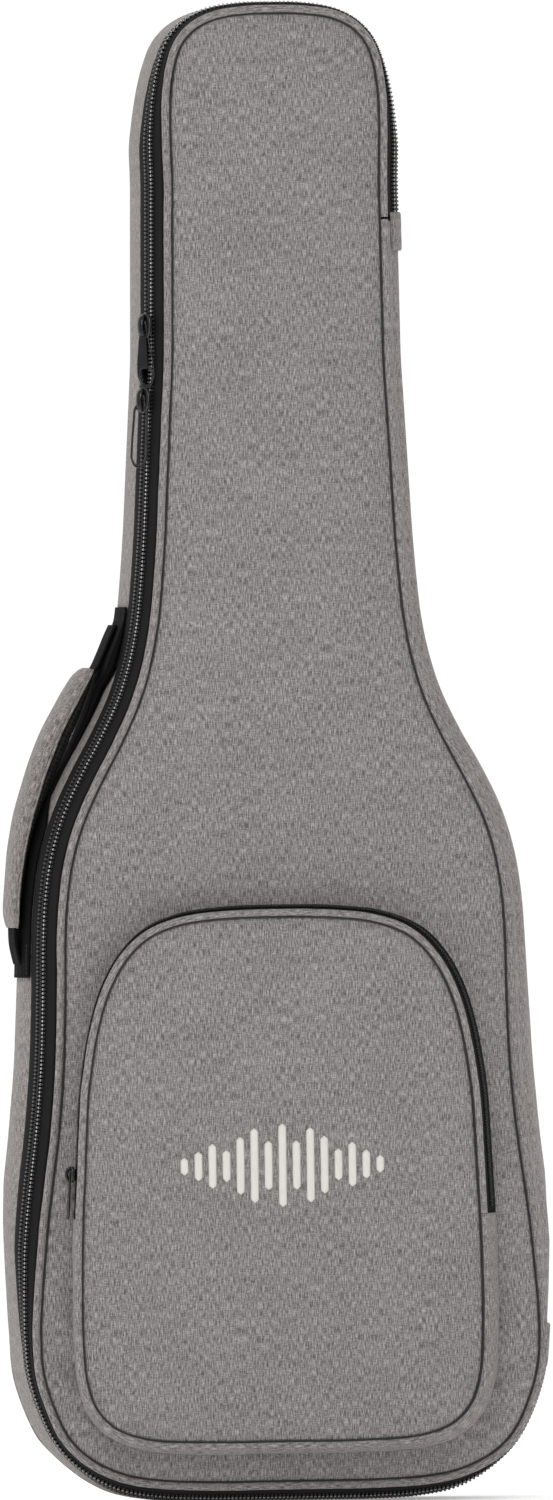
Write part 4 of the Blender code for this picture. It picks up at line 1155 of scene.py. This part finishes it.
def back():
    def rear(way, x, z):
        edge = np.clip(way / 14.0, 0, 1)
        start = np.where(way < 0.6, -1.2, 0.0)
        swell = start + 1.6 * (1 - np.exp(-way / 7.0)) - 1.2
        return DEPTH + swell + wander(x, z, 120.0, 20) * 0.6 * edge + wander(x, z, 34.0, 21) * 0.22 * edge

    def pad_front(way, x, z):
        soft = np.clip(1 - np.exp(-(way - 1.6) / 4.5), 0, 1)
        return DEPTH - 4.0 - 13.4 * soft + wander(x, z, 90.0, 22) * 0.4 * soft

    insets = [0.5, 1.0, 2.0, 3.5, 5.5, 8, 11, 15, 20, 27, 36, 48, 60]
    front = lambda way, x, z: DEPTH - 3.0 + 0 * x
    cloth = pillow("back_panel", MAIN, insets, (front, rear), CLOTH_SIDE, "shell")
    dress(cloth, "cloth", "back_panel_cloth", loft=0.8)
    insets = [1.6, 2.4, 3.6, 5.4, 8, 12, 18, 28, 42]
    pad_rear = lambda way, x, z: DEPTH - 4.0 + 0 * x
    pad = pillow("back_panel_lining_pad", MAIN, insets, (pad_front, pad_rear), LINING, "shell", step=7.0)
    dress(pad, "lining", "back_panel_foam", "back_panel_lining", loft=0.8)


def ribbon(path, widths, thicks, side, round_edge=2, dome=0.0, dense=10):
    """Rings and run of a flat or pillowed strip along a 3-D path; side is the way its width lies."""
    keys = np.array(path, float)
    pts = catmull(keys, False, dense)
    at = np.linspace(0, len(keys) - 1, len(pts))
    sizes = [np.interp(at, np.arange(len(keys)), np.broadcast_to(v, len(keys))) for v in (widths, thicks)]
    steps = 2 * round_edge + 1
    arc = [-math.pi / 2 + math.pi * k / (steps - 1) for k in range(steps)]
    shares = [1 - 2 * k / 6 for k in range(1, 6)]
    rings = []
    for p, ahead, wid, thk in zip(pts, unit(np.gradient(pts, axis=0)), *sizes):
        across = np.array(side, float)
        across = unit(across - ahead * (across @ ahead))
        up = np.cross(ahead, across)
        w, t = wid / 2, thk / 2
        edge = min(t, w) * 0.98
        ring = []
        for way in (1, -1):
            ring += [p + way * (across * (w - edge + edge * math.cos(a)) + up * t * math.sin(a)) for a in arc]
            ring += [p + way * (across * (w - edge) * u + up * (t + dome * (1 - u * u))) for u in shares]
        rings.append(ring)
    return np.array(rings), run_of(pts)


def webbing(name, path, width, thick, side, body, *nodes):
    rings, run = ribbon(path, width, thick, side)
    return swept(name, rings, WEB, run, body, "webbing", *nodes)


def line_stitches(name, path, pitch, length):
    """Stitches along a 3-D path on the back, raised off it."""
    pts = np.array(path, float)
    run = run_of(pts)
    count = int(run[-1] / pitch)
    mid = (np.arange(count) + 0.5) * run[-1] / count

    def at(s):
        return np.stack([np.interp(s, run, pts[:, k]) for k in range(3)], 1)

    up = np.array([0, 1.0, 0])
    ways = unit(at(mid + 0.5) - at(mid - 0.5))
    spots = [(c, t, up, unit(np.cross(t, up))) for c, t in zip(at(mid), ways)]
    sew(name, "shell", spots, (length, 0.7), SEAM)


def on_back(side, rows):
    """Points on the left (-1) or right (1), from (x, distance behind the back seam, z)."""
    return [(side * x, BACK_Y + y, z) for x, y, z in rows]


PAD_PATH = [
    (30, 9, 664), (36, 19, 630), (50, 29, 560), (66, 32, 480), (80, 28, 400), (90, 19, 335), (94, 13, 305),
]
WEB_PATH = [
    (134, 4.6, 118), (122, 6, 160), (108, 7.2, 220), (99.5, 8.2, 262), (97, 9, 274), (96.3, 12.5, 278.5),
    (96.2, 16.4, 276), (96.8, 17, 262), (100, 16, 232),
]
BUCKLE_LOOP = [
    (93.8, 13.2, 308), (95.2, 16.2, 300), (96, 16.4, 292.5), (96, 12.5, 289.6), (96, 8.6, 292.5),
    (95.2, 9.4, 300), (93.8, 12.4, 308),
]
HANG_LOOP_PATH = ((-70, 4.6), (-56, 9), (-32, 22), (0, 27), (32, 22), (56, 9), (70, 4.6))
BUCKLE = [(-15, -17), (-15, 17), (-8, 19), (8, 19), (15, 15), (15, -15), (8, -19), (-8, -19)]
UPRIGHT = (np.array([0, 0, 1.0]), np.array([1.0, 0, 0]), np.array([0, 1.0, 0]))


def straps():
    for side, word in ((-1, "left"), (1, "right")):
        widths, thicks = [50, 60, 66, 66, 64, 54, 42], [7, 9.5, 10.5, 10.5, 10.5, 9.5, 7]
        rings, run = ribbon(on_back(side, PAD_PATH), widths, thicks, (1, 0, 0), 3, 1.2)
        flat = rings.reshape(-1, 3)
        flat[:, 1] += ripple(flat, 42.0, 30 + side) * 0.7
        node = f"shoulder_strap_{word}"
        swept(f"shoulder_pad_{word}", rings, CLOTH_SIDE, run, "shell", "cloth", node, loft=0.8)
        for name, pick in (("outer", 8), ("inner", 12)):
            line_stitches(f"shoulder_pad_{word}_stitches_{name}", rings[3:-3, pick], 3.2, 2.4)
        path = on_back(side, WEB_PATH)
        webbing(f"strap_web_{word}", path, 24, 1.5, (1, 0, 0), "shell", f"strap_webbing_{word}")
        slots = [rounded([(a, -14), (a, 14), (b, 14), (b, -14)], 1.6) for a, b in ((-11, -3), (3, 11))]
        looks = UPRIGHT, (side * 96.0, BACK_Y + 12.5, 284.0), PLASTIC, "shell", 1.1, "buckle"
        made = flat_piece(f"buckle_{word}", rounded(BUCKLE, 3.0), slots, 4.6, *looks)
        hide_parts(f"strap_buckle_{word}")
        webbing(f"strap_loop_{word}", on_back(side, BUCKLE_LOOP), 25, 1.4, (1, 0, 0), "shell")
        outline = [(side * x, z) for x, z in ((112, 84), (150, 92), (150, 132), (116, 144))][::side]
        node = f"strap_anchor_{word}"
        patch(f"strap_anchor_{word}_cloth", node, rounded(outline, 4.0), 0.7, 2.2, CLOTH_SIDE)
        inner = rounded([(side * x, z) for x, z in ((115, 88), (147, 95), (147, 129.5), (118.5, 140))], 3.0)
        line = [(a, BACK_Y + 2.95, b) for a, b in inner + inner[:1]]
        line_stitches(f"strap_anchor_{word}_stitches", line, 3.2, 2.4)
    yoke = rounded([(-66, 650), (66, 650), (50, 706), (-50, 706)], 6.0, 6)
    patch("strap_yoke_cloth", "strap_yoke", yoke, 0.6, 2.2, CLOTH_SIDE)
    hem = rounded([(-62, 653.5), (62, 653.5), (47.5, 702.5), (-47.5, 702.5)], 5.0, 6)
    line_stitches("strap_yoke_stitches", [(a, BACK_Y + 2.85, b) for a, b in hem + hem[:1]], 3.4, 2.5)
    path = on_back(1, [(x, y, HANG_LOOP_Z) for x, y in HANG_LOOP_PATH])
    webbing("hang_loop_web", path, 25, 2.2, (0, 0, 1), "shell", "hang_loop")
    for side, word in ((-1, "left"), (1, "right")):
        corners = ((50, -14), (71, -14), (71, 14), (50, 14))
        ends = [(side * x, HANG_LOOP_Z + z) for x, z in corners][::side]
        patch(f"hang_loop_patch_{word}", None, rounded(ends, 2.0), 1.2, 1.6, WEB)


def stacked(pts, levels, lay):
    """Rings of an outline drawn in by a share towards its middle, laid in space by lay(ring, level)."""
    mid = pts.mean(0)
    return [lay(pts + (mid - pts) * share, level) for share, level in levels]


def patch(name, node, outline, off, thick, mat):
    """A flat patch with a soft rim, sewn on the back, off millimetres behind its seam."""
    pts = np.array(outline, float)
    shares = ((0.0, 0.55), (0.012, 0.85), (0.03, 1.0), (0.3, 1.0), (0.65, 1.0), (1.0, 1.0))
    levels = [(1.0, 0.0), (0.0, 0.0)] + [(share, thick * lift) for share, lift in shares]
    rows = stacked(pts, levels, lambda ring, lift: stand(ring, BACK_Y + off + lift))
    made = build(name, np.vstack(rows), grid_faces(len(rows), len(pts)), mat)
    weld(made, 0.01)
    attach(made, "shell")
    if node:
        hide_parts(node)


# ---------------------------------------------------------------- handle

# The grip's middle line, (x, z), and how thick it is on the wall's side and on the outer side of it.
GRIP = [
    (-127.5, 584, 3.6, 7), (-140.5, 560, 7.4, 9.5), (-154.5, 532, 9.2, 10), (-165.2, 504, 7.2, 9.8),
    (-172.6, 480, 5.2, 9), (-177.4, 460, 4.2, 8), (-180.6, 440, 3.8, 7.2), (-182.8, 420, 3.2, 6.4),
    (-183.3, 404, 2.6, 5),
]
BACKING_FRONT = [(470, 29.8), (486, 44), (562, 44), (578, 29.8)]
BACKING_LIFT = [(515, 0), (532, 1.8), (548, 3.6), (560, 4.8), (575, 5.2), (588, 4.6), (602, 2.2), (616, 0)]


def handle():
    line = catmull(np.array(GRIP, float), False, 10)
    mid = line[:, :2]
    ahead = unit(np.gradient(mid, axis=0))
    q = np.stack([ahead[:, 1], -ahead[:, 0]], 1)
    q[q[:, 0] > 0] *= -1
    run = run_of(mid)
    full = np.clip(np.minimum(run, run[-1] - run) / 9.0, 0, 1) ** 0.5
    across = np.array([0, 1.0, 0])

    def ring_of(base, out, half, arc, lip, power, height, ends):
        """Half a rounded section, closed by a straight run of ends points at the lip's height."""
        ring = []
        for a in (math.pi * k / arc for k in range(arc + 1)):
            w = half * math.copysign(abs(math.cos(a)) ** power[0], math.cos(a))
            ring.append(base + across * w + out * (lip + (height - lip) * abs(math.sin(a)) ** power[1]))
        for k in range(1, ends):
            ring.append(base + across * (-half + 2 * half * k / ends) * 0.985 + out * lip)
        return ring

    cover = []
    pad = []
    for (x, z, low, high), (u, v), f in zip(line, q, full):
        base, out = np.array([x, HANDLE_Y, z]), np.array([u, 0, v])
        half = 17.0 + 2.0 * f
        top = 0.6 + (high - 0.6) * (0.45 + 0.55 * f)
        cover.append(ring_of(base, out, half, 20, 0.25, (0.55, 0.62), top, 7))
        pad.append(ring_of(base, out, half - 1.3, 16, -0.2, (0.5, 0.6), -low * (0.5 + 0.5 * f), 6))
    cover = np.array(cover)
    pts = cover.reshape(-1, 3)
    cover = (pts + ripple(pts, 26.0, 40)[:, None] * np.array([0.8, 0, 0.3])).reshape(cover.shape)
    swept("handle_cover", cover, CLOTH_SIDE, run, "carry_handle", "cloth", "handle_grip_cover", loft=0.9)
    swept("handle_mesh_pad", pad, AIR, run, "carry_handle", "air_mesh", "handle_grip_pad", loft=0.7)
    # The cover's folded hem, where it meets the mesh.
    for pick, word in ((20, "front"), (0, "rear")):
        hem = cover[:, pick] + stand(q, 0) * -0.4
        wire(f"handle_hem_{word}", hem, 0.9, CLOTH_SIDE, "carry_handle", "cloth")
    for word, line in (
        ("top", [(-129, 580.5), (-124.6, 584.2), (-119.2, 594.8), (-113.8, 607.4), (-110.2, 615)]),
        ("bottom", [(-183.9, 408), (-184.0, 400), (-183.6, 392.5), (-182.2, 385), (-180.6, 378.5)]),
    ):
        path = [(x, HANDLE_Y, z) for x, z in line]
        made = webbing(f"handle_web_{word}", path, 30, 2.2, (0, 1, 0), None, f"handle_tab_{word}")
        fixed, free = (tuple(c * MM for c in path[k]) for k in (-2, 1))
        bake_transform(made)
        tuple(fixed)
        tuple(free)
    s = MAIN.span(-1, 626, -1, 368, 3.0)

    def section(z):
        front = table(BACKING_FRONT, z)
        depths = [front + share * (74 - front) for share in (0, 0.015, 0.12, 0.3, 0.5, 0.7, 0.88, 0.985, 1)]
        n, d = skin_section(depths, 1.7, 1.3)(z)
        n[:9] += table(BACKING_LIFT, z)
        n[[0, 8]] -= 0.5
        return n, d

    swept("handle_back_web", along(MAIN, s, section), WEB, s, "shell", "webbing", "handle_backing")
    for word, z0, z1 in (("top", 624, 600), ("bottom", 392, 370)):
        s = MAIN.span(-1, z0, -1, z1, 2.0)
        for depth in (34.0, 59.0):
            name = f"handle_patch_{word}_{int(depth)}"
            stitches(name, s[0], s[-1], 1.75, depth, (2.2, 0.6), DARK_THREAD_AND_GROOVE_SHADOW, "webbing")


# ---------------------------------------------------------------- inside


def inside():
    def lay(ring, z):
        return np.stack([ring[:, 0], FRONT_Y + ring[:, 1], z + 0 * ring[:, 0]], 1)

    # The neck rest keeps its channel, so its ends are capped by the outline's own faces.
    half = [(61.5, 86.3), (61.5, 42.5), (34.5, 42.5), (27.5, 60.5)]
    pts = np.array(rounded([(-x, d) for x, d in half] + half[::-1], 4.0), float)
    mid = pts.mean(0)
    rows = []
    for grow, z in ((-1.4, 800.2), (-0.4, 801.0), (0, 802.4), (0, 859.6), (-0.4, 861.0), (-1.4, 861.8)):
        rows.append(lay(pts + unit(pts - mid) * grow, z))
    n = len(pts)
    faces = grid_faces(len(rows), n)
    faces += [tuple(range(n))[::-1], tuple(range((len(rows) - 1) * n, len(rows) * n))]
    block = build("neck_rest_block", np.vstack(rows), faces, LINING, None, "shell", False)
    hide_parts("neck_rest")

    # The bumper is softened top and bottom.
    pts = np.array(rounded([(-69.5, 30.5), (-69.5, 83.5), (69.5, 83.5), (69.5, 30.5)], 5.0), float)
    z0, z1 = 16.1, 25.4
    low = [(1.0, z0), (0.06, z0), (0.02, z0 + 0.8), (0, z0 + 2.0)]
    high = [(0, z1 - 2.0), (0.02, z1 - 0.8), (0.06, z1), (1.0, z1)]
    rows = stacked(pts, low + high, lay)
    made = build("bottom_bumper_pad", np.vstack(rows), grid_faces(len(rows), len(pts)), RUBBER)
    weld(made, 0.01)
    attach(made, "shell")
    dress(made, "bumper", "bottom_bumper")

    line = ((58, 39.6), (30, 39.4), (0, 39.4), (-30, 39.4), (-58, 39.6))
    path = [(x, FRONT_Y + d, NECK_STRAP_Z) for x, d in line]
    webbing("neck_strap_web", path, 29, 1.9, (0, 0, 1), "neck_strap", "neck_strap")


studio()
lid()
side_wall()
hinge_side()
main_zipper()
pocket()
sliders()
back()
straps()
handle()
inside()
